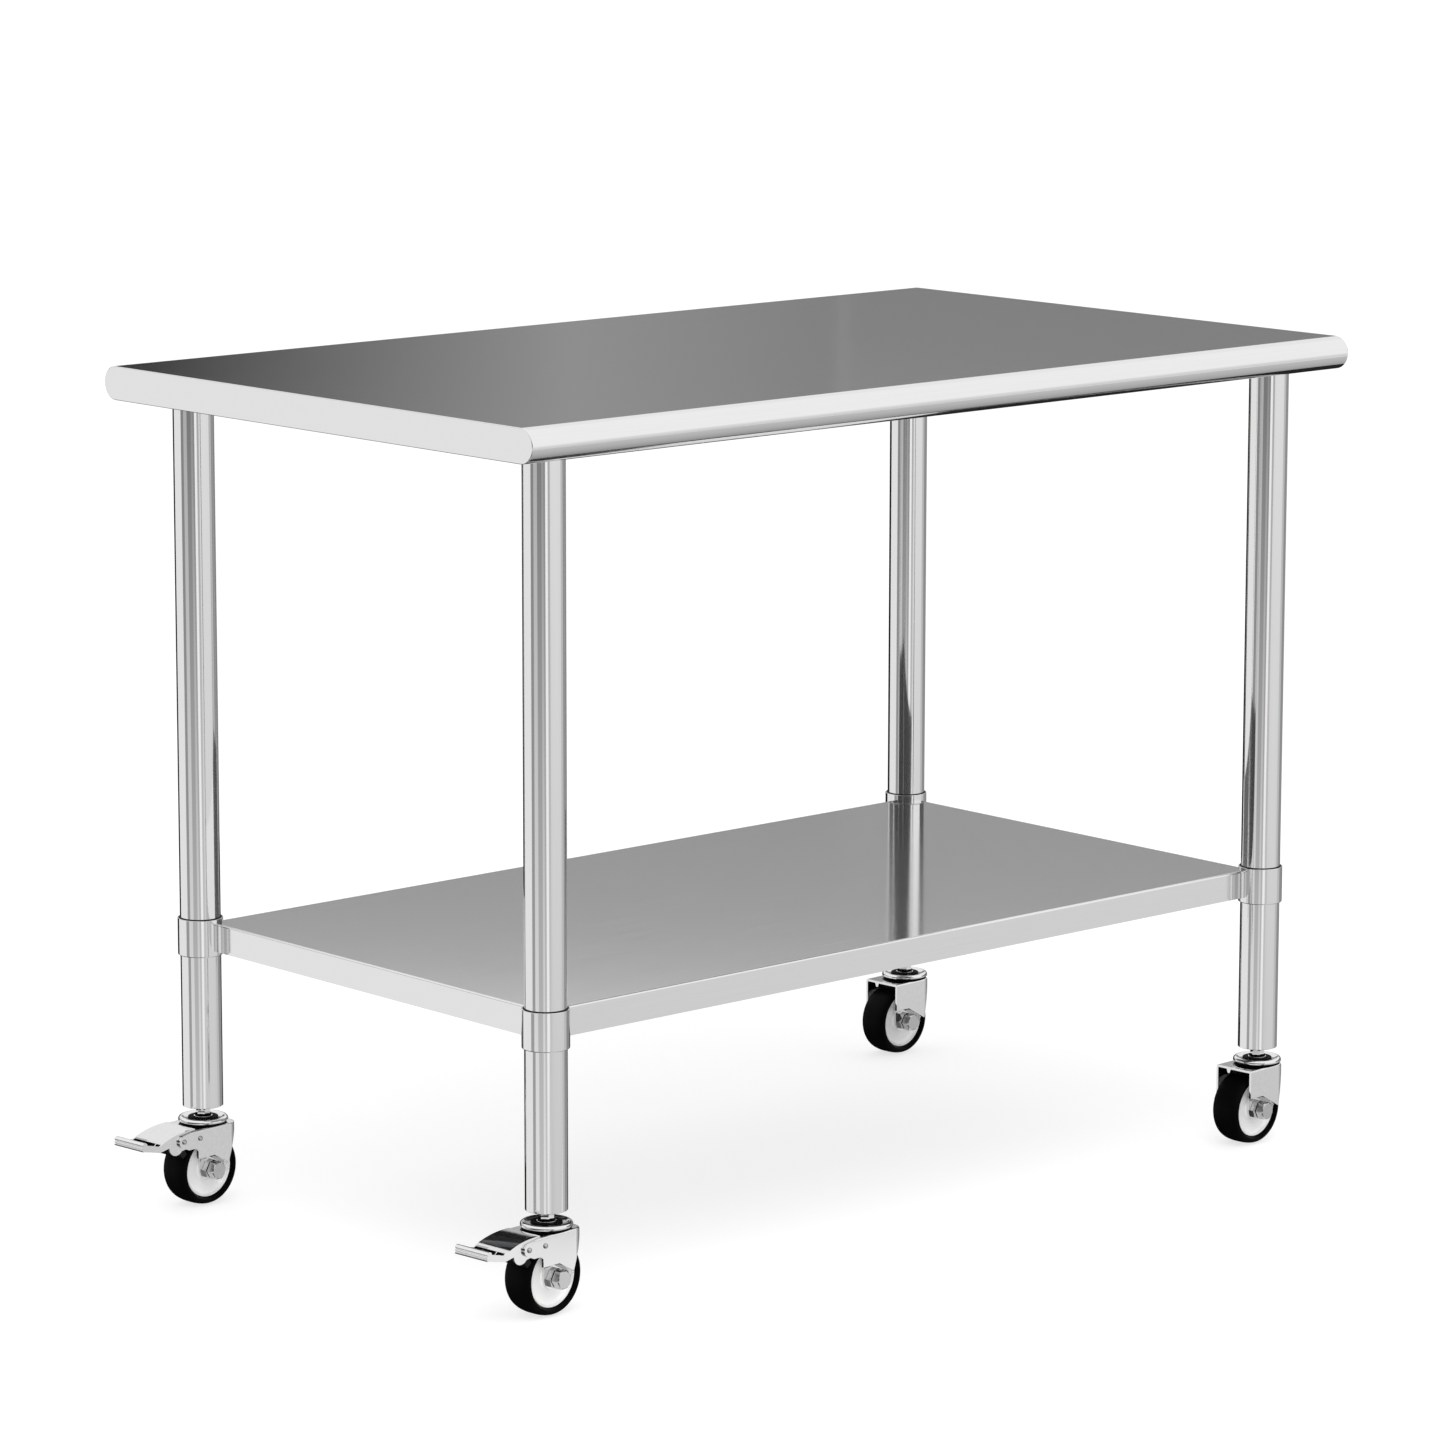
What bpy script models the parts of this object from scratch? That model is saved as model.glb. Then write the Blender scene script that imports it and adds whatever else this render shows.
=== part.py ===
"""Stainless work table on four swivel casters, with an undershelf that slides on the legs."""
import math

import bmesh
import bpy
from mathutils import Matrix, Vector

# Worktop, in metres
TABLE_HEIGHT = 0.936
TOP_LENGTH = 1.209
TOP_WIDTH = 0.720
TOP_DEPTH = 0.037
TOP_SHEET = 0.0012
TOP_EDGE_RETURN = 0.012
TOP_END_RETURN = 0.014
TOP_EDGE_ROUND = 0.0009

# Hat channels under the sheets
CHANNEL_HEIGHT = 0.022
CHANNEL_CROWN = 0.066
CHANNEL_FLANGE = 0.015
CHANNEL_SHEET = 0.0015
CHANNEL_END_GAP = 0.010
SHELF_CHANNEL_HEIGHT = 0.016

# Legs and the sockets that hold them under the worktop
LEG_INSET_LEFT = 0.070
LEG_INSET_RIGHT = 0.060
LEG_INSET_Y = 0.0655
LEG_DIAMETER = 0.045
LEG_WALL = 0.0012
SOCKET_WALL = 0.003
SOCKET_DEPTH = 0.015
SOCKET_PLATE = 0.002
SOCKET_FLANGE = 0.0055
SOCKET_CHAMFER = 0.001

# Undershelf and the sleeves that clamp it to the legs
SHELF_TOP_HEIGHT = 0.318
SHELF_DEPTH = 0.0316
SHELF_SHEET = 0.001
SHELF_BEND = 0.002
SHELF_RETURN = 0.010
SHELF_INSET_X = 0.005
SHELF_INSET_Y = 0.009
SLEEVE_WALL = 0.0022
SLEEVE_HEIGHT = 0.0415
SLEEVE_RISE = 0.0055
SLEEVE_CHAMFER = 0.0012

# Caster wheel
WHEEL_DIAMETER = 0.0835
TYRE_WIDTH = 0.037
TYRE_FULLNESS = 2.6
RIM_DIAMETER = 0.065
RIM_WIDTH = 0.029
HUB_WEB = 0.019
HUB_BOSS_DIAMETER = 0.023
BUSH_WALL = 0.002
AXLE_DIAMETER = 0.010
AXLE_NUT_ACROSS = 0.0185
AXLE_NUT_HEIGHT = 0.007
AXLE_LOCK_NUT_HEIGHT = 0.0095
AXLE_HEAD_HEIGHT = 0.0085
AXLE_NUT_SPLIT = 0.0008

# Swivel head: king pin, balls, upper race cup, hexagon and threaded stem
TYRE_HEADROOM = 0.002
KING_PIN_DIAMETER = 0.012
KING_PIN_HEAD = 0.003
KING_PIN_HEAD_DIAMETER = 0.020
BALL_DIAMETER = 0.0045
BALL_PITCH_DIAMETER = 0.038
BALL_COUNT = 8
CUP_SHEET = 0.0015
CUP_DIAMETER = 0.0555
CUP_ROLL = 0.0035
COLLAR_DIAMETER = 0.021
COLLAR_HEIGHT = 0.0015
STEM_DIAMETER = 0.012
STEM_HEX_ACROSS = 0.014
STEM_HEX_HEIGHT = 0.008
STEM_SHOW = 0.0033
INSERT_HEIGHT = 0.025
STEM_PAST_INSERT = 0.006

# Caster fork, pressed from one sheet
FORK_SHEET = 0.0025
FORK_GAP = 0.0465
FORK_BEND = 0.003
FORK_CORNER = 0.013
FORK_LIP = 0.0025
ARM_END_RADIUS = 0.013
ARM_BACK_TAPER = 0.005
ARM_BACK_DROP = 0.006
ARM_HEEL_RISE = 0.003
ARM_HEEL_STEP = 0.006
ARM_HEEL_DROP = 0.0085
ARM_JOGGLE = 0.0108
JOGGLE_HEIGHT = 0.0135
JOGGLE_SLOPE = 0.004
POCKET_LEAD = 0.0045
POCKET_LEAN_DEG = 52.0
THROAT_ROUND = 0.005
THROAT_LEAD = 0.002
TYRE_CLEARANCE = 0.0025
PLAIN_TURN_DEG = 3.3
BRAKED_TURN_DEG = 5.0
PLAIN_TRAIL = 0.0187
PLAIN_FRONT = 0.0415
PLAIN_REAR = 0.0212
PLAIN_HEEL = 0.0093
BRAKED_TRAIL = 0.006
BRAKED_FRONT = 0.0325
BRAKED_REAR = 0.030
BRAKED_HEEL = 0.0134

# Brake pedal, shoe and the rivets they turn on
PIVOT_REACH = 0.051
PIVOT_HEIGHT = 0.0812
PIVOT_EYE = 0.007
RIVET_DIAMETER = 0.004
RIVET_HEAD_DIAMETER = 0.0065
RIVET_HEAD = 0.0018
SPACER_REACH = 0.0275
PEDAL_REACH = 0.110
PEDAL_SHEET = 0.002
PEDAL_CREST = 0.0925
PEDAL_KNEE_REACH = 0.0845
PEDAL_KNEE_HEIGHT = 0.082
PEDAL_LIP_WIDTH = 0.047
PEDAL_LIP_HEIGHT = 0.010
PEDAL_LIP_THICK = 0.007
PEDAL_LIP_BOTTOM = 0.080
PEDAL_FLARE_START = 0.061
PEDAL_BELLY = 0.005
PEDAL_LOBE_RADIUS = 0.0105
PEDAL_LOBE_LEAD = 0.0095
PEDAL_LOBE_DROP = 0.0035
BRAKE_SWING_DEG = 18.0
SHOE_THICK = 0.010
SHOE_FROM_DEG = 140.0
SHOE_TO_DEG = 150.0

# Clearances
SEAT_GAP = 0.0003
SLIDE_GAP = 0.0004
RUN_GAP = 0.00015

# Facets round a full turn
TUBE_STEPS = 18
PIN_STEPS = 12
HEAD_STEPS = 16
TYRE_STEPS = 24

# Worked-out places that several pieces share
LEG_X = (TOP_LENGTH - LEG_INSET_LEFT - LEG_INSET_RIGHT) / 2
TOP_MIDDLE = (LEG_INSET_RIGHT - LEG_INSET_LEFT) / 2
LEG_Y = TOP_WIDTH / 2 - LEG_INSET_Y
LEG_R = LEG_DIAMETER / 2
WHEEL_R = WHEEL_DIAMETER / 2
AXLE_R = AXLE_DIAMETER / 2
AXLE_Z = WHEEL_R * math.cos(math.pi / TYRE_STEPS)
BUSH_R = AXLE_R + SEAT_GAP + BUSH_WALL
FORK_HALF = FORK_GAP / 2 + FORK_SHEET
HEAD_BOTTOM_Z = AXLE_Z + WHEEL_R + TYRE_HEADROOM
PLATE_BOTTOM_Z = HEAD_BOTTOM_Z + KING_PIN_HEAD + SEAT_GAP
FORK_TOP_Z = PLATE_BOTTOM_Z + FORK_SHEET
BALL_Z = FORK_TOP_Z + SEAT_GAP + BALL_DIAMETER / 2
CUP_UNDER_Z = BALL_Z + BALL_DIAMETER / 2 + SEAT_GAP
CUP_TOP_Z = CUP_UNDER_Z + CUP_SHEET
HEX_BOTTOM_Z = CUP_TOP_Z + COLLAR_HEIGHT
LEG_BOTTOM_Z = HEX_BOTTOM_Z + STEM_HEX_HEIGHT + STEM_SHOW
CHANNEL_TOP_Z = TABLE_HEIGHT - TOP_SHEET - SEAT_GAP
SOCKET_TOP_Z = CHANNEL_TOP_Z - CHANNEL_HEIGHT - SEAT_GAP
LEG_TOP_Z = SOCKET_TOP_Z - SOCKET_PLATE - SEAT_GAP
SLEEVE_INNER_R = LEG_R + SLIDE_GAP
SLEEVE_R = SLEEVE_INNER_R + SLEEVE_WALL
SHELF_HALF_X = LEG_X - SHELF_INSET_X
SHELF_HALF_Y = LEG_Y - SHELF_INSET_Y
PEDAL_HALF = FORK_GAP / 2 - SEAT_GAP
ARM_INNER = FORK_GAP / 2 - ARM_JOGGLE
ARM_OUTER = ARM_INNER + FORK_SHEET
JOGGLE_LOW_Z = AXLE_Z + JOGGLE_HEIGHT
JOGGLE_TOP_Z = JOGGLE_LOW_Z + JOGGLE_SLOPE

# The brake pedals reach past the left end, so the table is set over to keep the origin in the middle
BRAKED_TURN = math.radians(BRAKED_TURN_DEG)
PEDAL_CORNER = PEDAL_REACH * math.cos(BRAKED_TURN) + PEDAL_LIP_WIDTH / 2 * math.sin(BRAKED_TURN)
TABLE_SHIFT = (max(PEDAL_CORNER, LEG_INSET_LEFT) - LEG_INSET_RIGHT) / 2

CORNERS = {"fl": (-1, -1), "fr": (1, -1), "bl": (-1, 1), "br": (1, 1)}

# Base colour, roughness and metallic value of each finish
FINISHES = {
    "brushed_stainless": ((0.60, 0.60, 0.60), 0.32, 1.0),
    "polished_stainless": ((0.68, 0.68, 0.68), 0.16, 1.0),
    "galvanised_steel": ((0.46, 0.47, 0.48), 0.45, 1.0),
    "zinc_plate": ((0.66, 0.66, 0.66), 0.24, 1.0),
    "chrome_plate": ((0.72, 0.72, 0.72), 0.08, 1.0),
    "white_nylon": ((0.85, 0.85, 0.84), 0.40, 0.0),
    "black_rubber": ((0.012, 0.012, 0.012), 0.55, 0.0),
    "black_plastic": ((0.02, 0.02, 0.02), 0.45, 0.0),
}


def clear_scene():
    for old in list(bpy.data.objects):
        bpy.data.objects.remove(old, do_unlink=True)


def empty(name, location, parent=None):
    """An empty that stands for a frame of reference, such as a swivel axis."""
    marker = bpy.data.objects.new(name, None)
    bpy.context.collection.objects.link(marker)
    marker.location = location
    marker.parent = parent
    return marker


def finish_material(name, finish):
    colour, roughness, metallic = FINISHES[finish]
    material = bpy.data.materials.new(name + "_" + finish)
    material.use_nodes = True
    shader = material.node_tree.nodes["Principled BSDF"]
    shader.inputs["Base Color"].default_value = (*colour, 1.0)
    shader.inputs["Roughness"].default_value = roughness
    shader.inputs["Metallic"].default_value = metallic
    return material


def mesh_of(shape):
    """Turn a finished bmesh into a mesh with outward faces and shading that breaks at real edges."""
    bmesh.ops.remove_doubles(shape, verts=shape.verts, dist=1e-6)
    bmesh.ops.dissolve_degenerate(shape, edges=shape.edges, dist=1e-6)
    bmesh.ops.recalc_face_normals(shape, faces=shape.faces)
    mesh = bpy.data.meshes.new("piece")
    shape.to_mesh(mesh)
    shape.free()
    mesh.shade_smooth()
    mesh.set_sharp_from_angle(angle=math.radians(35))
    return mesh


def piece(name, mesh, finish, parent, location=(0, 0, 0)):
    """Place one named sub-part. Copies of a repeated piece keep their own mesh and material."""
    body = bpy.data.objects.new(name, mesh.copy())
    body.data.name = name
    body.data.materials.append(finish_material(name, finish))
    bpy.context.collection.objects.link(body)
    body.parent = parent
    body.location = location
    return body


def arc(centre_u, centre_v, radius, from_deg, to_deg, steps):
    """Points along an arc in a flat outline."""
    sweep = [from_deg + (to_deg - from_deg) * i / steps for i in range(steps + 1)]
    turns = [math.radians(degrees) for degrees in sweep]
    return [(centre_u + radius * math.cos(t), centre_v + radius * math.sin(t)) for t in turns]


def prism(outline, low, high, along):
    """Extrude a flat outline from low to high along X, Y or Z."""
    place = {
        "X": lambda u, v: (low, u, v),
        "Y": lambda u, v: (u, low, v),
        "Z": lambda u, v: (u, v, low),
    }[along]
    shape = bmesh.new()
    face = shape.faces.new([shape.verts.new(place(u, v)) for u, v in outline])
    grown = bmesh.ops.extrude_face_region(shape, geom=[face])
    moved = [item for item in grown["geom"] if isinstance(item, bmesh.types.BMVert)]
    step = [0.0, 0.0, 0.0]
    step["XYZ".index(along)] = high - low
    bmesh.ops.translate(shape, verts=moved, vec=step)
    bmesh.ops.recalc_face_normals(shape, faces=shape.faces)
    return shape


def block(low, high):
    """A box between two corners."""
    outline = [(low[0], low[1]), (high[0], low[1]), (high[0], high[1]), (low[0], high[1])]
    return prism(outline, low[2], high[2], "Z")


def turned(profile, steps, open_ends=False, along="Z", start_step=0.0):
    """Spin a profile of (radius, height) points round an axis. A tube's profile is a closed loop,
    and a profile with open ends starts and stops on the axis."""
    shape = bmesh.new()
    phase = math.radians(360.0 * start_step / steps)
    verts = [shape.verts.new((r * math.cos(phase), r * math.sin(phase), h)) for r, h in profile]
    edges = [shape.edges.new(pair) for pair in zip(verts, verts[1:])]
    if not open_ends:
        edges.append(shape.edges.new((verts[-1], verts[0])))
    bmesh.ops.spin(
        shape,
        geom=verts + edges,
        axis=(0, 0, 1),
        cent=(0, 0, 0),
        angle=math.tau,
        steps=steps,
        use_merge=True,
    )
    bmesh.ops.remove_doubles(shape, verts=shape.verts, dist=1e-6)
    bmesh.ops.recalc_face_normals(shape, faces=shape.faces)
    if along == "Y":
        bmesh.ops.rotate(shape, verts=shape.verts, matrix=Matrix.Rotation(-math.pi / 2, 3, "X"))
    return shape


def tube(inner, outer, low, high, steps, chamfer_low=0.0, chamfer_high=0.0):
    """A round tube open at both ends, with chamfers on its outer rims."""
    profile = [(outer - chamfer_high, high), (outer, high - chamfer_high)]
    profile += [(outer, low + chamfer_low), (outer - chamfer_low, low)]
    profile += [(inner, low), (inner, high)]
    return turned(profile, steps)


def cylinder(radius, low, high, steps, along="Z", centre=(0, 0, 0)):
    """A plain round bar, used for holes and rounds."""
    shape = turned([(0, high), (radius, high), (radius, low), (0, low)], steps, True, along)
    bmesh.ops.translate(shape, verts=shape.verts, vec=centre)
    return shape


def hexagon(across, low, high, along="Z"):
    """A hexagonal prism by its size across the flats."""
    radius = across / 2 / math.cos(math.pi / 6)
    return turned([(0, high), (radius, high), (radius, low), (0, low)], 6, True, along)


def combined(base, operation, tools):
    """Cut, join or intersect a shape with each tool in turn."""
    shapes = []
    for shape in [base] + tools:
        mesh = bpy.data.meshes.new("shape")
        shape.to_mesh(mesh)
        shape.free()
        body = bpy.data.objects.new("shape", mesh)
        bpy.context.collection.objects.link(body)
        shapes.append(body)
    for tool in shapes[1:]:
        modifier = shapes[0].modifiers.new("combine", "BOOLEAN")
        modifier.operation = operation
        modifier.solver = "EXACT"
        modifier.object = tool
    graph = bpy.context.evaluated_depsgraph_get()
    result = bmesh.new()
    result.from_mesh(shapes[0].evaluated_get(graph).to_mesh())
    for body in shapes:
        bpy.data.objects.remove(body, do_unlink=True)
    bmesh.ops.remove_doubles(result, verts=result.verts, dist=1e-6)
    return result


def bevelled(shape, chosen, width, segments):
    """Round the edges that a test picks out."""
    edges = [edge for edge in shape.edges if chosen(edge)]
    bmesh.ops.bevel(
        shape, geom=edges, offset=width, segments=segments, profile=0.5, affect="EDGES"
    )
    return shape


def stadium(half_width, middle, radius, steps):
    """Outline with two straight runs and half-round ends."""
    reach = half_width - radius
    return arc(reach, middle, radius, -90, 90, steps) + arc(-reach, middle, radius, 90, 270, steps)


def worktop():
    """Sheet rolled to a bullnose at front and back, with flat ends and returns underneath."""
    bullnose = TOP_DEPTH / 2
    middle = TABLE_HEIGHT - bullnose
    left = TOP_MIDDLE - TOP_LENGTH / 2
    right = TOP_MIDDLE + TOP_LENGTH / 2
    half_y = TOP_WIDTH / 2
    outside = prism(stadium(half_y, middle, bullnose, 12), left, right, "X")
    rim_round = min(TOP_EDGE_ROUND, TOP_SHEET * 0.8)
    bevelled(outside, lambda edge: abs(edge.verts[0].co.x - edge.verts[1].co.x) < 1e-6, rim_round, 1)
    inner = stadium(half_y - TOP_SHEET, middle, bullnose - TOP_SHEET, 12)
    inside = prism(inner, left + TOP_SHEET, right - TOP_SHEET, "X")
    open_y = half_y - bullnose - TOP_EDGE_RETURN
    floor_z = TABLE_HEIGHT - TOP_DEPTH
    near = (left + TOP_END_RETURN, -open_y, floor_z - bullnose)
    opening = block(near, (right - TOP_END_RETURN, open_y, middle))
    return combined(outside, "DIFFERENCE", [inside, opening])


def hat_outline(height):
    """Section of a hat channel: flanges against the sheet at zero, crown below."""
    crown = CHANNEL_CROWN / 2
    brim = crown + CHANNEL_FLANGE
    sheet = CHANNEL_SHEET
    right = [(crown - sheet, sheet - height), (crown - sheet, 0), (brim, 0), (brim, -sheet)]
    right += [(crown, -sheet), (crown, -height)]
    left = [(-u, v) for u, v in reversed(right)]
    return right + left


def hat_channel(height, half_length, along):
    return prism(hat_outline(height), -half_length, half_length, along)


def leg_socket():
    """Cup that holds the top of a leg, with a flange welded to the channel above."""
    inner = LEG_R + SEAT_GAP
    outer = inner + SOCKET_WALL
    plate_z = SOCKET_TOP_Z - SOCKET_PLATE
    rim_z = plate_z - SOCKET_DEPTH
    flange = outer + SOCKET_FLANGE
    profile = [(0, SOCKET_TOP_Z), (flange, SOCKET_TOP_Z), (flange, plate_z), (outer, plate_z)]
    profile += [(outer, rim_z + SOCKET_CHAMFER), (outer - SOCKET_CHAMFER, rim_z)]
    profile += [(inner, rim_z), (inner, plate_z), (0, plate_z)]
    return turned(profile, TUBE_STEPS, True)


def undershelf():
    """Shallow pan with folded sides and returns, notched at the corners for the sleeves."""
    top_z = SHELF_TOP_HEIGHT
    low_z = top_z - SHELF_DEPTH
    outside = block((-SHELF_HALF_X, -SHELF_HALF_Y, low_z), (SHELF_HALF_X, SHELF_HALF_Y, top_z))
    bevelled(outside, lambda edge: min(v.co.z for v in edge.verts) > top_z - 1e-6, SHELF_BEND, 2)
    in_x = SHELF_HALF_X - SHELF_SHEET
    in_y = SHELF_HALF_Y - SHELF_SHEET
    inside = block((-in_x, -in_y, low_z + SHELF_SHEET), (in_x, in_y, top_z - SHELF_SHEET))
    inner_bend = max(SHELF_BEND - SHELF_SHEET, SHELF_SHEET / 2)
    ceiling = top_z - SHELF_SHEET - 1e-6
    bevelled(inside, lambda edge: min(v.co.z for v in edge.verts) > ceiling, inner_bend, 2)
    open_x = SHELF_HALF_X - SHELF_RETURN
    open_y = SHELF_HALF_Y - SHELF_RETURN
    opening = block((-open_x, -open_y, low_z - SHELF_DEPTH), (open_x, open_y, top_z - SHELF_DEPTH / 2))
    notch_r = SLEEVE_R + SEAT_GAP
    notches = [
        cylinder(notch_r, low_z - notch_r, top_z + notch_r, TUBE_STEPS, "Z", (sx * LEG_X, sy * LEG_Y, 0))
        for sx, sy in CORNERS.values()
    ]
    return combined(outside, "DIFFERENCE", [inside, opening] + notches)


def shelf_sleeve():
    high = SHELF_TOP_HEIGHT + SLEEVE_RISE
    low = high - SLEEVE_HEIGHT
    return tube(SLEEVE_INNER_R, SLEEVE_R, low, high, TUBE_STEPS, SLEEVE_CHAMFER, SLEEVE_CHAMFER / 2)


def leg_insert():
    """Plug pressed into the foot of a leg, bored for the caster's stem."""
    bore = STEM_DIAMETER / 2 + SEAT_GAP
    outer = LEG_R - LEG_WALL - SEAT_GAP
    high = LEG_BOTTOM_Z + INSERT_HEIGHT
    return tube(bore, outer, LEG_BOTTOM_Z, high, TUBE_STEPS, 0.0, LEG_WALL)


def swivel_stem():
    """Threaded stem, hexagon, upper race cup with its rolled rim, and the king pin below."""
    stem = STEM_DIAMETER / 2
    stem_top = LEG_BOTTOM_Z + INSERT_HEIGHT + STEM_PAST_INSERT
    collar = COLLAR_DIAMETER / 2
    rim = CUP_DIAMETER / 2
    roll = CUP_ROLL
    rim_low = FORK_TOP_Z + CUP_SHEET
    pin = KING_PIN_DIAMETER / 2
    head = KING_PIN_HEAD_DIAMETER / 2
    head_top = PLATE_BOTTOM_Z - SEAT_GAP
    profile = [(0, stem_top), (stem, stem_top - stem * 0.2)]
    profile += [(stem, HEX_BOTTOM_Z), (collar, HEX_BOTTOM_Z), (collar, CUP_TOP_Z)]
    profile += arc(rim - roll, CUP_TOP_Z + CUP_SHEET * 0.6 - roll, roll, 100, 0, 3)
    profile += [(rim - CUP_SHEET * 0.4, rim_low), (rim - CUP_SHEET, CUP_UNDER_Z - CUP_SHEET)]
    profile += [(rim - CUP_SHEET * 2, CUP_UNDER_Z)]
    profile += [(pin, CUP_UNDER_Z), (pin, head_top), (head, head_top)]
    profile += [(head * 0.8, HEAD_BOTTOM_Z), (0, HEAD_BOTTOM_Z)]
    body = turned(profile, HEAD_STEPS, True)
    flats = hexagon(STEM_HEX_ACROSS, HEX_BOTTOM_Z - COLLAR_HEIGHT / 2, HEX_BOTTOM_Z + STEM_HEX_HEIGHT)
    return combined(body, "UNION", [flats])


def ball_ring():
    """Bearing balls with the cage between them, swept as one beaded ring."""
    ball = BALL_DIAMETER / 2
    cage = ball * 0.4
    pitch = BALL_PITCH_DIAMETER / 2
    sections = 4
    sides = 4
    shape = bmesh.new()
    loops = []
    for index in range(BALL_COUNT * sections):
        turn = math.tau * index / (BALL_COUNT * sections)
        off_centre = (index % sections - sections / 2) / (sections / 2)
        bead = max(cage, ball * math.sqrt(max(0.0, 1 - (abs(abs(off_centre) - 1) * 2) ** 2)))
        loop = []
        for side in range(sides):
            around = math.tau * side / sides
            reach = pitch + bead * math.cos(around)
            point = (reach * math.cos(turn), reach * math.sin(turn), BALL_Z + bead * math.sin(around))
            loop.append(shape.verts.new(point))
        loops.append(loop)
    for index, loop in enumerate(loops):
        after = loops[(index + 1) % len(loops)]
        for side in range(sides):
            beside = (side + 1) % sides
            shape.faces.new((loop[side], after[side], after[beside], loop[beside]))
    return shape


def fork_outline(trail, front, rear, heel, braked):
    """Side view of the fork: arms with round ends, and pivot eyes in front where there is a brake."""
    foot = arc(-trail, AXLE_Z, ARM_END_RADIUS, 180, 300, 5)
    tab = [(foot[0][0], JOGGLE_LOW_Z)] + foot
    back = [(heel - ARM_HEEL_STEP, AXLE_Z - ARM_HEEL_DROP), (heel, AXLE_Z + ARM_HEEL_RISE)]
    back += [(rear - ARM_BACK_TAPER, FORK_TOP_Z - ARM_BACK_DROP * 2)]
    back += [(rear, FORK_TOP_Z - ARM_BACK_DROP), (rear, FORK_TOP_Z)]
    if not braked:
        return [(-front, FORK_TOP_Z), (-front, JOGGLE_TOP_Z)] + tab + back
    eye = arc(-PIVOT_REACH, PIVOT_HEIGHT, PIVOT_EYE, 100, 250, 5)
    under = PIVOT_HEIGHT - PIVOT_EYE * 1.5
    throat_x = -BRAKED_FRONT + THROAT_LEAD
    throat = [(PIVOT_EYE - PIVOT_REACH, under)]
    throat += arc(throat_x - THROAT_ROUND, under - THROAT_ROUND, THROAT_ROUND, 90, 0, 2)
    throat += [(throat_x, JOGGLE_TOP_Z)]
    return [(-front, FORK_TOP_Z)] + eye + throat + tab + back


def fork(trail, front, rear, heel, braked):
    """Pressed fork: top plate, two arms with a pocket for the axle nuts, and a rounded skirt behind."""
    outside = prism(fork_outline(trail, front, rear, heel, braked), -FORK_HALF, FORK_HALF, "Y")
    bevelled(
        outside,
        lambda edge: min(v.co.z for v in edge.verts) > FORK_TOP_Z - 1e-6
        and abs(edge.verts[0].co.y - edge.verts[1].co.y) < 1e-6,
        FORK_BEND,
        1,
    )
    foremost = PIVOT_REACH + PIVOT_EYE * 2 if braked else front
    plan = fork_plan(foremost + FORK_SHEET, rear, FORK_HALF, FORK_CORNER)
    blank = combined(outside, "INTERSECT", [prism(plan, 0.0, FORK_TOP_Z * 2, "Z")])
    inner = FORK_GAP / 2
    hollow = fork_plan(foremost * 2, rear - FORK_SHEET, inner, FORK_CORNER - FORK_SHEET)
    tools = [prism(hollow, 0.0, PLATE_BOTTOM_Z, "Z")]
    tools.append(block((-foremost * 2, -inner, 0.0), (rear * 2, inner, JOGGLE_TOP_Z)))
    tyre_half = inner - FORK_LIP
    axle = (-trail, 0, AXLE_Z)
    tools.append(cylinder(WHEEL_R + TYRE_CLEARANCE, -tyre_half, tyre_half, HEAD_STEPS, "Y", axle))
    tools.append(cylinder(AXLE_R + SEAT_GAP, -FORK_GAP, FORK_GAP, PIN_STEPS, "Y", axle))
    pin_hole = KING_PIN_DIAMETER / 2 + RUN_GAP * 2
    tools.append(cylinder(pin_hole, PLATE_BOTTOM_Z - FORK_SHEET, FORK_TOP_Z * 2, PIN_STEPS))
    if braked:
        tools.append(block((-foremost * 2, -inner, 0.0), (-front, inner, FORK_TOP_Z * 2)))
        for reach in (PIVOT_REACH, SPACER_REACH):
            hole = RIVET_DIAMETER / 2 + RUN_GAP
            tools.append(cylinder(hole, -FORK_GAP, FORK_GAP, PIN_STEPS, "Y", (-reach, 0, PIVOT_HEIGHT)))
    return pocketed(combined(blank, "DIFFERENCE", tools), trail)


def pocketed(shape, trail):
    """Press the arms in round the axle to a pocket that is open below and in front."""
    lean = math.radians(POCKET_LEAN_DEG)
    corner = Vector((POCKET_LEAD - trail, 0, JOGGLE_TOP_Z))
    down = Vector((0, 0, -1))
    inward = Vector((-math.sin(lean), 0, -math.cos(lean)))
    folds = [(corner, down), (corner + down * JOGGLE_SLOPE, down)]
    folds += [(corner, inward), (corner + inward * JOGGLE_SLOPE, inward), (corner, down - inward)]
    for place, facing in folds:
        lower = [face for face in shape.faces if min(v.co.z for v in face.verts) < JOGGLE_TOP_Z - 1e-6]
        edges = {edge for face in lower for edge in face.edges}
        verts = {vert for face in lower for vert in face.verts}
        geometry = list(verts) + list(edges) + lower
        bmesh.ops.bisect_plane(shape, geom=geometry, plane_co=place, plane_no=facing, dist=1e-7)
    bmesh.ops.triangulate(shape, faces=shape.faces)
    for vert in shape.verts:
        depth = min((vert.co - corner).dot(down), (vert.co - corner).dot(inward))
        share = min(1.0, max(0.0, depth / JOGGLE_SLOPE))
        vert.co.y -= math.copysign(ARM_JOGGLE * share, vert.co.y)
    return shape


def fork_plan(front, rear, half, corner):
    """Outline seen from above: square in front, round corners behind."""
    inset = half - corner
    outline = [(-front, -half)]
    outline += arc(rear - corner, -inset, corner, -90, 0, 3)
    outline += arc(rear - corner, inset, corner, 0, 90, 3)
    return outline + [(-front, half)]


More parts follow.
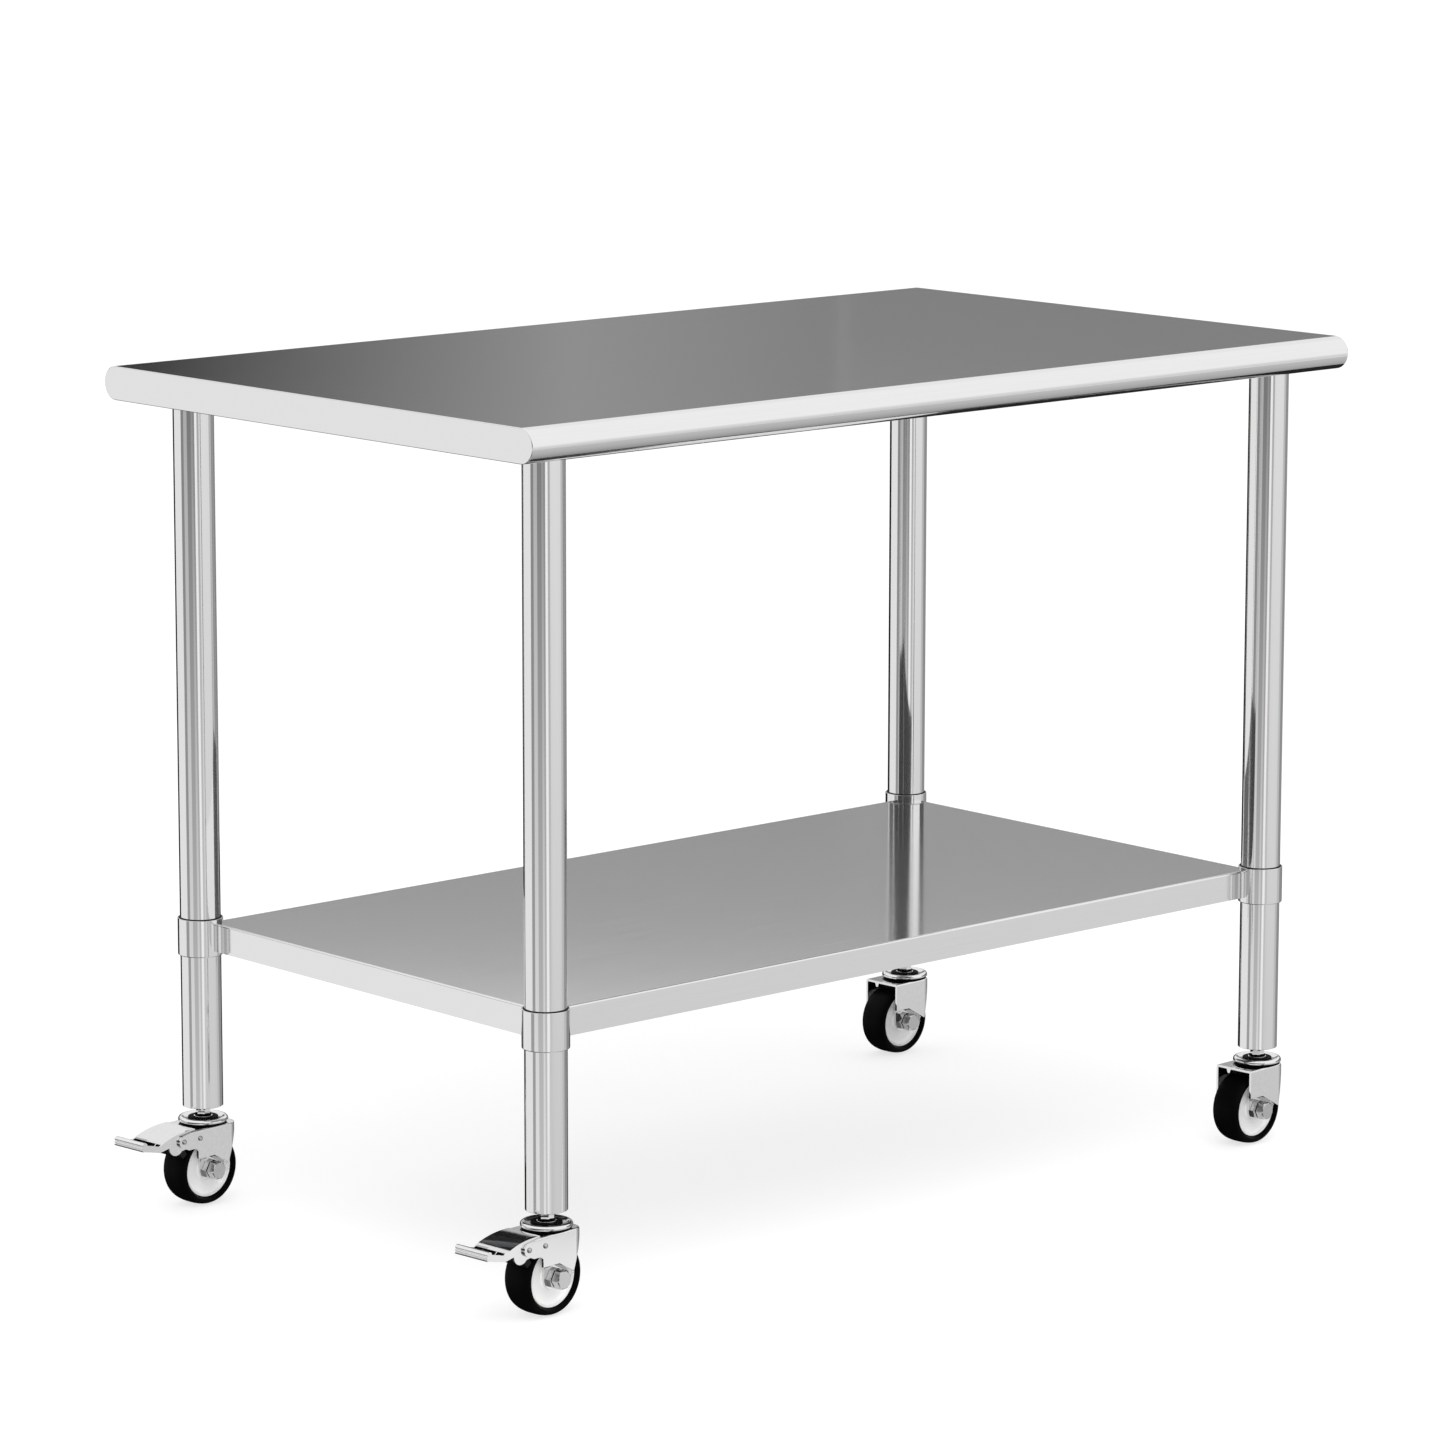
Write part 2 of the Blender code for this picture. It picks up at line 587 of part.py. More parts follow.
def axle_bolt():
    """Through bolt with its head on one side of the fork, and a nut and lock nut on the other."""
    seat = ARM_OUTER + SEAT_GAP
    core = AXLE_NUT_ACROSS * 0.45
    split = -seat - AXLE_NUT_HEIGHT
    lock_end = split - AXLE_NUT_SPLIT - AXLE_LOCK_NUT_HEIGHT
    half_nut = AXLE_NUT_HEIGHT / 2
    profile = [(0, seat + half_nut), (AXLE_R, seat + half_nut), (AXLE_R, -seat - half_nut)]
    profile += [(core, -seat - half_nut), (core, split - half_nut), (0, split - half_nut)]
    body = turned(profile, PIN_STEPS, True, "Y")
    nut = hexagon(AXLE_NUT_ACROSS, split, -seat, "Y")
    lock_nut = hexagon(AXLE_NUT_ACROSS, lock_end, split - AXLE_NUT_SPLIT, "Y")
    head = hexagon(AXLE_NUT_ACROSS, seat, seat + AXLE_HEAD_HEIGHT, "Y")
    return combined(body, "UNION", [nut, lock_nut, head])


def axle_bush():
    half = ARM_INNER - SEAT_GAP
    shape = tube(AXLE_R + SEAT_GAP, BUSH_R, -half, half, PIN_STEPS)
    bmesh.ops.rotate(shape, verts=shape.verts, matrix=Matrix.Rotation(-math.pi / 2, 3, "X"))
    return shape


def wheel_hub():
    """Moulded wheel centre: long boss, dished web and a rim that the tyre grips."""
    bore = BUSH_R + RUN_GAP
    boss = HUB_BOSS_DIAMETER / 2
    end = ARM_INNER - SEAT_GAP * 2
    web = HUB_WEB / 2
    rim = RIM_DIAMETER / 2 - SEAT_GAP
    edge = RIM_WIDTH / 2
    one_side = [(bore, end), (boss, end), (boss * 1.1, web), (rim * 0.85, web), (rim, edge)]
    other_side = [(r, -h) for r, h in reversed(one_side)]
    return turned(one_side + other_side, TYRE_STEPS, False, "Y", 0.5)


def tyre():
    """Rubber tread with a full round crown, moulded over the rim. A flat facet meets the floor."""
    half = TYRE_WIDTH / 2
    rim = RIM_DIAMETER / 2
    shoulder = rim + (WHEEL_R - rim) * 0.3
    crown = WHEEL_R - shoulder
    power = 2 / TYRE_FULLNESS
    steps = 5
    tread_turn = math.pi * (steps // 2) / steps
    profile = [(rim, -RIM_WIDTH / 2), (rim, RIM_WIDTH / 2)]
    for index in range(steps + 1):
        turn = math.pi * index / steps
        across = math.copysign(abs(math.cos(turn)) ** power, math.cos(turn))
        rise = (math.sin(turn) / math.sin(tread_turn)) ** power if 0 < index < steps else 0.0
        profile.append((shoulder + crown * rise, half * across))
    return turned(profile, TYRE_STEPS, False, "Y", 0.5)


def rivet():
    """Rivet through both fork arms, with a domed head on each side."""
    seat = FORK_HALF + SEAT_GAP
    shank = RIVET_DIAMETER / 2
    head = RIVET_HEAD_DIAMETER / 2
    dome = [(head, seat), (head * 0.8, seat + RIVET_HEAD * 0.7), (0, seat + RIVET_HEAD)]
    profile = list(reversed(dome)) + [(shank, seat)]
    profile += [(r, -h) for r, h in reversed(profile)]
    return turned(profile, PIN_STEPS, True, "Y")


def pedal_outline():
    """Side view of the pedal: arched plate, knee before the lip, and a lobe over the tyre."""
    back = -BRAKED_FRONT - SEAT_GAP
    lip_x = -PEDAL_REACH + PEDAL_LIP_THICK / 2
    lip_top = PEDAL_LIP_BOTTOM + PEDAL_LIP_HEIGHT
    drop = PEDAL_CREST - PEDAL_KNEE_HEIGHT
    span = PEDAL_KNEE_REACH + back
    crest = []
    for index in range(6):
        share = index / 5
        crest.append((back - span * share, PEDAL_CREST - drop * share ** 2))
    front = [(lip_x, lip_top - PEDAL_LIP_HEIGHT / 4), (lip_x, PEDAL_LIP_BOTTOM)]
    lobe_x = -PIVOT_REACH - PEDAL_LOBE_LEAD
    belly = [(-PEDAL_KNEE_REACH, PEDAL_LIP_BOTTOM - PEDAL_BELLY)]
    belly += [(lobe_x - PEDAL_LOBE_RADIUS, PEDAL_LIP_BOTTOM - PEDAL_BELLY / 2)]
    lobe = arc(lobe_x, PIVOT_HEIGHT - PEDAL_LOBE_DROP, PEDAL_LOBE_RADIUS, 200, 320, 4)
    heel = [(back, PIVOT_HEIGHT - PIVOT_EYE)]
    return crest + front + belly + lobe + heel


def brake_pedal():
    """One pressing: arched plate with folded flanges, a window behind the lip and a rolled lip bar."""
    outside = prism(pedal_outline(), -PEDAL_HALF, PEDAL_HALF, "Y")
    inner = PEDAL_HALF - PEDAL_SHEET
    under = [(x, z - PEDAL_SHEET) for x, z in pedal_outline()[:6]]
    window_end = under[-1][0] - PEDAL_SHEET
    under += [(-PEDAL_REACH, 0.0), (0.0, 0.0), (0.0, under[0][1])]
    hollow = prism(under, -inner, inner, "Y")
    window = block((-PEDAL_REACH * 2, -inner, 0.0), (window_end, inner, PEDAL_CREST * 2))
    eye = RIVET_DIAMETER / 2 + RUN_GAP
    pin = cylinder(eye, -FORK_GAP, FORK_GAP, PIN_STEPS, "Y", (-PIVOT_REACH, 0, PIVOT_HEIGHT))
    plate = combined(outside, "DIFFERENCE", [hollow, window, pin])
    for reach in (PEDAL_FLARE_START, PEDAL_KNEE_REACH):
        everything = plate.verts[:] + plate.edges[:] + plate.faces[:]
        bmesh.ops.bisect_plane(plate, geom=everything, plane_co=(-reach, 0, 0), plane_no=(1, 0, 0))
    bmesh.ops.triangulate(plate, faces=plate.faces)
    flare = PEDAL_LIP_WIDTH / 2 / PEDAL_HALF - 1
    run = PEDAL_KNEE_REACH - PEDAL_FLARE_START
    for vert in plate.verts:
        share = (-vert.co.x - PEDAL_FLARE_START) / run
        vert.co.y *= 1 + flare * min(1.0, max(0.0, share)) * 0.96
    return combined(plate, "UNION", [lip_bar()])


def lip_bar():
    """Rolled bar across the end of the pedal, round on top."""
    thick = PEDAL_LIP_THICK / 2
    middle = -PEDAL_REACH + thick
    crown = PEDAL_LIP_BOTTOM + PEDAL_LIP_HEIGHT - thick
    outline = arc(middle, crown, thick, 0, 180, 6)
    foot = thick * 0.5
    outline += arc(middle - thick + foot, PEDAL_LIP_BOTTOM + foot, foot, 180, 270, 2)
    outline += arc(middle + thick - foot, PEDAL_LIP_BOTTOM + foot, foot, 270, 360, 2)
    return prism(outline, -PEDAL_LIP_WIDTH / 2, PEDAL_LIP_WIDTH / 2, "Y")


def brake_shoe():
    """Pad that meets the tyre when the pedal is down, drawn there and swung back to rest."""
    face = arc(-BRAKED_TRAIL, AXLE_Z, WHEEL_R + SEAT_GAP, SHOE_FROM_DEG, SHOE_TO_DEG, 4)
    back_r = WHEEL_R + SEAT_GAP + SHOE_THICK
    back = arc(-BRAKED_TRAIL, AXLE_Z, back_r, SHOE_TO_DEG, SHOE_FROM_DEG, 4)
    half = PEDAL_HALF - PEDAL_SHEET - SEAT_GAP
    shape = prism(face + back, -half, half, "Y")
    bmesh.ops.rotate(
        shape,
        verts=shape.verts,
        cent=(-PIVOT_REACH, 0, PIVOT_HEIGHT),
        matrix=Matrix.Rotation(math.radians(BRAKE_SWING_DEG), 3, "Y"),
    )
    return shape


def build_frame(table):
    channel_half = TOP_WIDTH / 2 - TOP_DEPTH / 2 - CHANNEL_END_GAP
    channel = mesh_of(hat_channel(CHANNEL_HEIGHT, channel_half, "Y"))
    piece("table_top", mesh_of(worktop()), "brushed_stainless", table)
    for side, x in (("left", -LEG_X), ("middle", 0.0), ("right", LEG_X)):
        piece("top_channel_" + side, channel, "galvanised_steel", table, (x, 0, CHANNEL_TOP_Z))
    socket = mesh_of(leg_socket())
    leg = mesh_of(tube(LEG_R - LEG_WALL, LEG_R, LEG_BOTTOM_Z, LEG_TOP_Z, TUBE_STEPS))
    insert = mesh_of(leg_insert())
    for corner, (sx, sy) in CORNERS.items():
        place = (sx * LEG_X, sy * LEG_Y, 0)
        piece("leg_socket_" + corner, socket, "galvanised_steel", table, place)
        piece("leg_" + corner, leg, "polished_stainless", table, place)
        piece("leg_insert_" + corner, insert, "zinc_plate", table, place)


def build_shelf(table):
    shelf = empty("shelf_slide", (0, 0, 0), table)
    piece("undershelf", mesh_of(undershelf()), "brushed_stainless", shelf)
    half = SHELF_HALF_X - CHANNEL_END_GAP - SHELF_RETURN
    channel = mesh_of(hat_channel(SHELF_CHANNEL_HEIGHT, half, "X"))
    under = SHELF_TOP_HEIGHT - SHELF_SHEET - SEAT_GAP
    piece("shelf_channel", channel, "galvanised_steel", shelf, (0, 0, under))
    sleeve = mesh_of(shelf_sleeve())
    for corner, (sx, sy) in CORNERS.items():
        piece("shelf_sleeve_" + corner, sleeve, "polished_stainless", shelf, (sx * LEG_X, sy * LEG_Y, 0))


def build_casters(table):
    stem = mesh_of(swivel_stem())
    balls = mesh_of(ball_ring())
    bolt = mesh_of(axle_bolt())
    bush = mesh_of(axle_bush())
    hub = mesh_of(wheel_hub())
    tread = mesh_of(tyre())
    plain_fork = mesh_of(fork(PLAIN_TRAIL, PLAIN_FRONT, PLAIN_REAR, PLAIN_HEEL, False))
    braked_fork = mesh_of(fork(BRAKED_TRAIL, BRAKED_FRONT, BRAKED_REAR, BRAKED_HEEL, True))
    for corner, (sx, sy) in CORNERS.items():
        braked = sx < 0
        trail = BRAKED_TRAIL if braked else PLAIN_TRAIL
        turn = BRAKED_TURN_DEG if braked else PLAIN_TURN_DEG
        swivel = empty("swivel_axis_" + corner, (sx * LEG_X, sy * LEG_Y, 0), table)
        swivel.rotation_euler.z = math.radians(turn)
        axle = empty("wheel_axis_" + corner, (-trail, 0, AXLE_Z), swivel)
        piece("swivel_stem_" + corner, stem, "chrome_plate", swivel)
        piece("ball_ring_" + corner, balls, "chrome_plate", swivel)
        piece("fork_" + corner, braked_fork if braked else plain_fork, "zinc_plate", swivel)
        piece("axle_bolt_" + corner, bolt, "zinc_plate", axle)
        piece("axle_bush_" + corner, bush, "zinc_plate", axle)
        piece("wheel_hub_" + corner, hub, "white_nylon", axle)
        piece("tyre_" + corner, tread, "black_rubber", axle)
        if braked:
            build_brake(corner, swivel)


def build_brake(corner, swivel):
    pivot = (-PIVOT_REACH, 0, PIVOT_HEIGHT)
    hinge = empty("pedal_axis_" + corner, pivot, swivel)
    to_hinge = tuple(-value for value in pivot)
    piece("brake_pedal_" + corner, mesh_of(brake_pedal()), "zinc_plate", hinge, to_hinge)
    piece("brake_shoe_" + corner, mesh_of(brake_shoe()), "black_plastic", hinge, to_hinge)
    pin = mesh_of(rivet())
    piece("pedal_rivet_" + corner, pin, "zinc_plate", hinge)
    piece("spacer_rivet_" + corner, pin, "zinc_plate", swivel, (-SPACER_REACH, 0, PIVOT_HEIGHT))


def build_table():
    clear_scene()
    table = empty("table", (TABLE_SHIFT, 0, 0))
    build_frame(table)
    build_shelf(table)
    build_casters(table)


build_table()
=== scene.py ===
import math

import bmesh
import bpy
from mathutils import Matrix, Vector


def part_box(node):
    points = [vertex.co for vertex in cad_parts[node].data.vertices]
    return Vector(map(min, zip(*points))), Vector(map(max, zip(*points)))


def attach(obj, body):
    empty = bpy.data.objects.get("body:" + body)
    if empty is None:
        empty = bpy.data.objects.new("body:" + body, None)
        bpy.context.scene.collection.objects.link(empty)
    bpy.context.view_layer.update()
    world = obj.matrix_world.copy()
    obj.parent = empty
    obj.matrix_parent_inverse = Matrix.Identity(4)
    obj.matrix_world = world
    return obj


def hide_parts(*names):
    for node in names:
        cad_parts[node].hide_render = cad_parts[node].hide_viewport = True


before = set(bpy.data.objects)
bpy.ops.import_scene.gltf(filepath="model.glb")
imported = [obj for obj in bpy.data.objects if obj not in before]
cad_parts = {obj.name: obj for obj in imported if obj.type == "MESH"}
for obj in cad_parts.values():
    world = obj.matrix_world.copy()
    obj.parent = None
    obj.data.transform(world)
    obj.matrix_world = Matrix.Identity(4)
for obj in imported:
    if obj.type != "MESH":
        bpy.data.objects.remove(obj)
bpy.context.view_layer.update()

# Places read from the frame, in metres
LEFT_CORNERS = ("fl", "bl")
RIGHT_CORNERS = ("fr", "br")
CORNERS = LEFT_CORNERS + RIGHT_CORNERS
LEG_LOW, LEG_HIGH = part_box("leg_fl")
LEG_R = (LEG_HIGH.x - LEG_LOW.x) / 2
FORK_TOP_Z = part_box("fork_fl")[1].z
STEM_LOW, STEM_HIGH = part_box("swivel_stem_fl")
AXLE_Z = (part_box("axle_bolt_fl")[0].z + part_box("axle_bolt_fl")[1].z) / 2

# Worktop and channels
TOP_SHEET = 0.0012
TOP_EDGE_ROUND = 0.0009
TOP_EDGE_RETURN = 0.012
TOP_END_RETURN = 0.014
CHANNEL_CROWN = 0.066
CHANNEL_SHEET = 0.0015
CHANNEL_BEND = 0.003

# Legs, sockets, sleeves and shelf
LEG_WALL = 0.0012
LEG_EDGE = 0.0003
PLUG_EDGE = 0.0005
SOCKET_WALL = 0.003
SOCKET_PLATE = 0.002
SOCKET_EDGE = 0.0004
SOCKET_RIM = 0.001
SOCKET_MOUTH = 0.0003
SHELF_SHEET = 0.001
SHELF_BEND = 0.002
SHELF_RETURN = 0.010
SLEEVE_WALL = 0.0022
SLEEVE_ROUND = 0.0010
SET_SCREW_R = 0.003
SET_SCREW_SHOW = 0.004
SET_SCREW_DROP = 0.024
SET_SCREW_KEY = 0.003
# How far the black ring between sleeve and leg stands above the sleeve, as a thin line of painted shade
GAP_SHADE_LINER_SHOW = 0.0009

# Caster wheel and axle
TYRE_WIDTH = 0.037
TYRE_FULLNESS = 2.6
TYRE_SHOULDER_SHARE = 0.3
RIM_R = 0.0325
RIM_WIDTH = 0.029
HUB_WEB = 0.019
HUB_BOSS_R = 0.0115
HUB_BORE_EDGE = 0.0004
HUB_ROUND = 0.0008
BOSS_FILLET = 0.0012
BOSS_FOOT = 0.0022
WEB_DISH_R = 0.004
WEB_DISH_SHARE = 0.85
AXLE_R = 0.005
BUSH_WALL = 0.002
BUSH_EDGE = 0.0003
NUT_ACROSS = 0.0185
NUT_HEIGHT = 0.0066
LOCK_NUT_HEIGHT = 0.0091
NUT_SPLIT = 0.0016
NUT_CHAMFER = 1.3
NUT_NECK_SHARE = 0.40
# Black rubber ring between the nuts, which paints the shade in the gap between them: its size and its
# clearance to the nuts
NUT_GAP_SHADE_SHARE = 0.49
NUT_GAP_SHADE_CLEARANCE = 0.0001
HEAD_HEIGHT = 0.0085

# Swivel head
KING_PIN_R = 0.006
KING_PIN_HEAD = 0.003
KING_PIN_HEAD_R = 0.010
KING_PIN_ROUND = 0.002
BALL_R = 0.00225
BALL_PITCH_R = 0.019
BALL_COUNT = 16
CAGE_SHARE = 0.3
CUP_SHEET = 0.0015
CUP_R = 0.02775
CUP_ROLL = 0.0035
CUP_DISH = 0.0008
CUP_LIFT = 0.0026
CUP_ROLL_LIFT = 0.6
CUP_SKIRT_INSET = 0.4
CUP_DISH_STEP = 0.003
SEAL_WIDTH = 0.004
SEAL_HEIGHT = 0.003
SEAL_EDGE = 0.0005
# Black rubber rings in the cup's dish: seals whose black also paints the dark reflection that the dish shows
DISH_SEAL_AND_REFLECTION_R = 0.0168
DISH_SEAL_AND_REFLECTION_HEIGHT = 0.0011
DISH_SEAL_AND_REFLECTION_EDGE = 0.0004
HEX_SEAL_AND_REFLECTION_HEIGHT = 0.0018
HEX_SEAL_AND_REFLECTION_INSET = 0.001
HEX_SEAL_AND_REFLECTION_EDGE = 0.0003
COLLAR_R = 0.0105
COLLAR_HEIGHT = 0.0015
COLLAR_EDGE = 0.0004
STEM_R = 0.006
THREAD_PITCH = 0.00175
THREAD_DEPTH = 0.0006
THREAD_LEAD = 0.9
THREAD_RUN_OUT = 0.0005
STEM_HEX_ACROSS = 0.014
STEM_HEX_HEIGHT = 0.008
STEM_HEX_OVERLAP = 0.001

# Fork
FORK_SHEET = 0.0025
FORK_HALF = 0.02575
FORK_BEND = 0.0018
FORK_CORNER = 0.013
FORK_LIP = 0.0025
ARM_END_R = 0.013
ARM_BACK_TAPER = 0.005
ARM_BACK_DROP = 0.006
ARM_HEEL_RISE = 0.003
ARM_HEEL_STEP = 0.006
ARM_HEEL_DROP = 0.0085
ARM_JOGGLE = 0.0108
JOGGLE_HEIGHT = 0.0148
JOGGLE_SLOPE = 0.0025
POCKET_LEAD = -0.001
POCKET_LEAN = math.radians(30.0)
THROAT_ROUND = 0.005
THROAT_LEAD = 0.002
THROAT_DROP_EYES = 1.5
TYRE_CLEARANCE = 0.0025
TOOTH_WIDTH = 0.0068
TOOTH_DROP = 0.0048
TOOTH_SIDE = 0.0078
TOOTH_ROUND_SHARE = 0.6
PLAIN_TURN = math.radians(3.3)
BRAKED_TURN = math.radians(5.0)
PLAIN_TRAIL = 0.0187
PLAIN_FRONT = 0.0415
PLAIN_REAR = 0.0212
PLAIN_HEEL = 0.0093
BRAKED_TRAIL = 0.006
BRAKED_FRONT = 0.0325
BRAKED_REAR = 0.030
BRAKED_HEEL = 0.0134

# Brake pedal
PIVOT_REACH = 0.051
PIVOT_HEIGHT = 0.0812
PIVOT_EYE = 0.007
RIVET_R = 0.002
RIVET_HEAD_R = 0.0029
RIVET_HEAD = 0.0018
SPACER_REACH = 0.0275
PEDAL_REACH = 0.110
PEDAL_SHEET = 0.002
PEDAL_CREST = 0.0925
PEDAL_ARCH_POWER = 2.4
PEDAL_ARCH_STEPS = 32
PEDAL_KNEE_REACH = 0.0845
PEDAL_KNEE_HEIGHT = 0.082
PEDAL_LIP_WIDTH = 0.047
PEDAL_LIP_HEIGHT = 0.010
PEDAL_LIP_THICK = 0.007
PEDAL_LIP_BOTTOM = 0.080
PEDAL_LIP_FOOT_SHARE = 0.5
PEDAL_FLARE_START = 0.061
PEDAL_FLARE_SHARE = 0.96
PEDAL_BELLY = 0.005
PEDAL_LOBE_R = 0.0105
PEDAL_LOBE_LEAD = 0.0095
PEDAL_LOBE_DROP = 0.0035
PEDAL_ARCH_REACH = 0.0795
PEDAL_GROOVE_R = 0.0011
PEDAL_GROOVE_SHARES = (0.30, 0.62)
BRAKE_SWING = math.radians(18.0)
SHOE_THICK = 0.010
SHOE_FROM_DEG = 140.0
SHOE_TO_DEG = 150.0
SHOE_ROUND = 0.0006

# Gaps between pieces that touch, and between pieces that turn
SEAT_GAP = 0.0003
SLIDE_GAP = 0.0004
RUN_GAP = 0.00015

# How far a cutter reaches past the piece, and how close points lie that count as one
CUT_PAST = 0.01
TOUCH = 1e-6

# Steps round a full turn
TUBE_STEPS = 96
PIN_STEPS = 48
WHEEL_STEPS = 120
CAD_TYRE_STEPS = 24

# Angles in degrees over which an edge stays sharp
SHARP_DEG = 32.0
TYRE_SHARP_DEG = 50
PEDAL_SHARP_DEG = 25
SHOE_SHARP_DEG = 40

# Worked-out sizes
FORK_GAP_HALF = FORK_HALF - FORK_SHEET
ARM_INNER = FORK_GAP_HALF - ARM_JOGGLE
ARM_OUTER = ARM_INNER + FORK_SHEET
PLATE_LOW_Z = FORK_TOP_Z - FORK_SHEET
JOGGLE_LOW_Z = AXLE_Z + JOGGLE_HEIGHT
JOGGLE_TOP_Z = JOGGLE_LOW_Z + JOGGLE_SLOPE
PEDAL_HALF = FORK_GAP_HALF - SEAT_GAP
BUSH_R = AXLE_R + SEAT_GAP + BUSH_WALL
TYRE_R = AXLE_Z
SLEEVE_INNER_R = LEG_R + SLIDE_GAP
SLEEVE_R = SLEEVE_INNER_R + SLEEVE_WALL
BALL_Z = FORK_TOP_Z + SEAT_GAP + BALL_R
CUP_UNDER_Z = BALL_Z + BALL_R + SEAT_GAP
CUP_TOP_Z = CUP_UNDER_Z + CUP_SHEET
HEX_LOW_Z = CUP_TOP_Z + COLLAR_HEIGHT
HEX_TOP_Z = HEX_LOW_Z + STEM_HEX_HEIGHT
NUT_SEAT = ARM_OUTER + SEAT_GAP
NUT_SPLIT_Y = -NUT_SEAT - NUT_HEIGHT
NUT_NECK_R = NUT_ACROSS * NUT_NECK_SHARE


# Modelling moves

def fresh_start():
    """Leave edit mode and deselect everything, so that an operator meets only its own piece."""
    if bpy.context.mode != "OBJECT":
        bpy.ops.object.mode_set(mode="OBJECT")
    bpy.ops.object.select_all(action="DESELECT")


def hold(piece):
    """Select one piece alone and make it the active one."""
    fresh_start()
    bpy.context.view_layer.objects.active = piece
    piece.select_set(True)


def edit(piece):
    hold(piece)
    bpy.ops.object.mode_set(mode="EDIT")


def choose(kind, test):
    """In edit mode, select only the faces, edges or vertices that a test picks out."""
    bpy.ops.mesh.select_mode(type=kind)
    bpy.ops.mesh.select_all(action="DESELECT")
    mesh = bpy.context.edit_object.data
    shape = bmesh.from_edit_mesh(mesh)
    items = {"VERT": shape.verts, "EDGE": shape.edges, "FACE": shape.faces}[kind]
    for item in items:
        if test(item):
            item.select_set(True)
    bmesh.update_edit_mesh(mesh)


def draw_line(name, points):
    """Draw a line of edges: one vertex, extruded from point to point. It stays in edit mode."""
    fresh_start()
    bpy.ops.mesh.primitive_plane_add(size=0.001, location=points[0])
    piece = bpy.context.object
    piece.name = name
    bpy.ops.object.transform_apply(location=True, rotation=False, scale=False)
    bpy.ops.object.mode_set(mode="EDIT")
    bpy.ops.mesh.select_mode(type="VERT")
    bpy.ops.mesh.select_all(action="SELECT")
    bpy.ops.mesh.merge(type="CENTER")
    for before, after in zip(points, points[1:]):
        step = Vector(after) - Vector(before)
        bpy.ops.mesh.extrude_vertices_move(TRANSFORM_OT_translate={"value": step})
    return piece


def turned(name, profile, steps, along="Z"):
    """Draw half a section as (radius, height) points and spin it round the Z or Y axis."""
    if along == "Z":
        points = [(radius, 0, height) for radius, height in profile]
    else:
        points = [(radius, height, 0) for radius, height in profile]
    piece = draw_line(name, points)
    axis = (0, 0, 1) if along == "Z" else (0, 1, 0)
    bpy.ops.mesh.select_all(action="SELECT")
    bpy.ops.mesh.spin(steps=steps, angle=math.tau, center=(0, 0, 0), axis=axis)
    bpy.ops.mesh.select_all(action="SELECT")
    bpy.ops.mesh.remove_doubles(threshold=TOUCH)
    bpy.ops.mesh.normals_make_consistent(inside=False)
    bpy.ops.object.mode_set(mode="OBJECT")
    return piece


def plate(name, outline, low, high, along):
    """Draw a closed outline, fill it and extrude it from low to high along X, Y or Z."""
    lay = {
        "X": lambda u, v: (low, u, v),
        "Y": lambda u, v: (u, low, v),
        "Z": lambda u, v: (u, v, low),
    }[along]
    step = [0.0, 0.0, 0.0]
    step["XYZ".index(along)] = high - low
    piece = draw_line(name, [lay(u, v) for u, v in outline + outline[:1]])
    bpy.ops.mesh.select_all(action="SELECT")
    bpy.ops.mesh.remove_doubles(threshold=TOUCH)
    bpy.ops.mesh.edge_face_add()
    bpy.ops.mesh.extrude_region_move(TRANSFORM_OT_translate={"value": step})
    bpy.ops.mesh.select_all(action="SELECT")
    bpy.ops.mesh.normals_make_consistent(inside=False)
    bpy.ops.object.mode_set(mode="OBJECT")
    return piece


def block(name, low, high):
    """A box drawn between two corners."""
    outline = [(low[0], low[1]), (high[0], low[1]), (high[0], high[1]), (low[0], high[1])]
    return plate(name, outline, low[2], high[2], "Z")


def bar(name, radius, low, high, steps, along="Y", centre=(0, 0, 0)):
    """A round bar with flat ends, for holes and rounds."""
    piece = turned(name, [(0, low), (radius, low), (radius, high), (0, high)], steps, along)
    piece.data.transform(Matrix.Translation(centre))
    return piece


def arc(centre_u, centre_v, radius, from_deg, to_deg, steps):
    """Points along an arc in a flat outline."""
    turns = [math.radians(from_deg + (to_deg - from_deg) * i / steps) for i in range(steps + 1)]
    return [(centre_u + radius * math.cos(t), centre_v + radius * math.sin(t)) for t in turns]


def combine(piece, tools, operation="DIFFERENCE"):
    """Cut, join or intersect a piece with each tool in turn, and throw the tools away."""
    hold(piece)
    for tool in tools:
        modifier = piece.modifiers.new("combine", "BOOLEAN")
        modifier.operation = operation
        modifier.solver = "EXACT"
        modifier.object = tool
        bpy.ops.object.modifier_apply(modifier=modifier.name)
        bpy.data.objects.remove(tool, do_unlink=True)
    edit(piece)
    bpy.ops.mesh.select_all(action="SELECT")
    bpy.ops.mesh.remove_doubles(threshold=TOUCH)
    bpy.ops.mesh.dissolve_degenerate(threshold=TOUCH)
    bpy.ops.object.mode_set(mode="OBJECT")
    return piece


def join(piece, others):
    """Make several loose shells one piece."""
    fresh_start()
    for other in others:
        other.select_set(True)
    piece.select_set(True)
    bpy.context.view_layer.objects.active = piece
    bpy.ops.object.join()
    return piece


def bevel_edges(piece, test, width, segments):
    """Round the edges that a test picks out."""
    edit(piece)
    choose("EDGE", test)
    bpy.ops.mesh.bevel(offset=width, segments=segments, affect="EDGES")
    bpy.ops.object.mode_set(mode="OBJECT")
    return piece


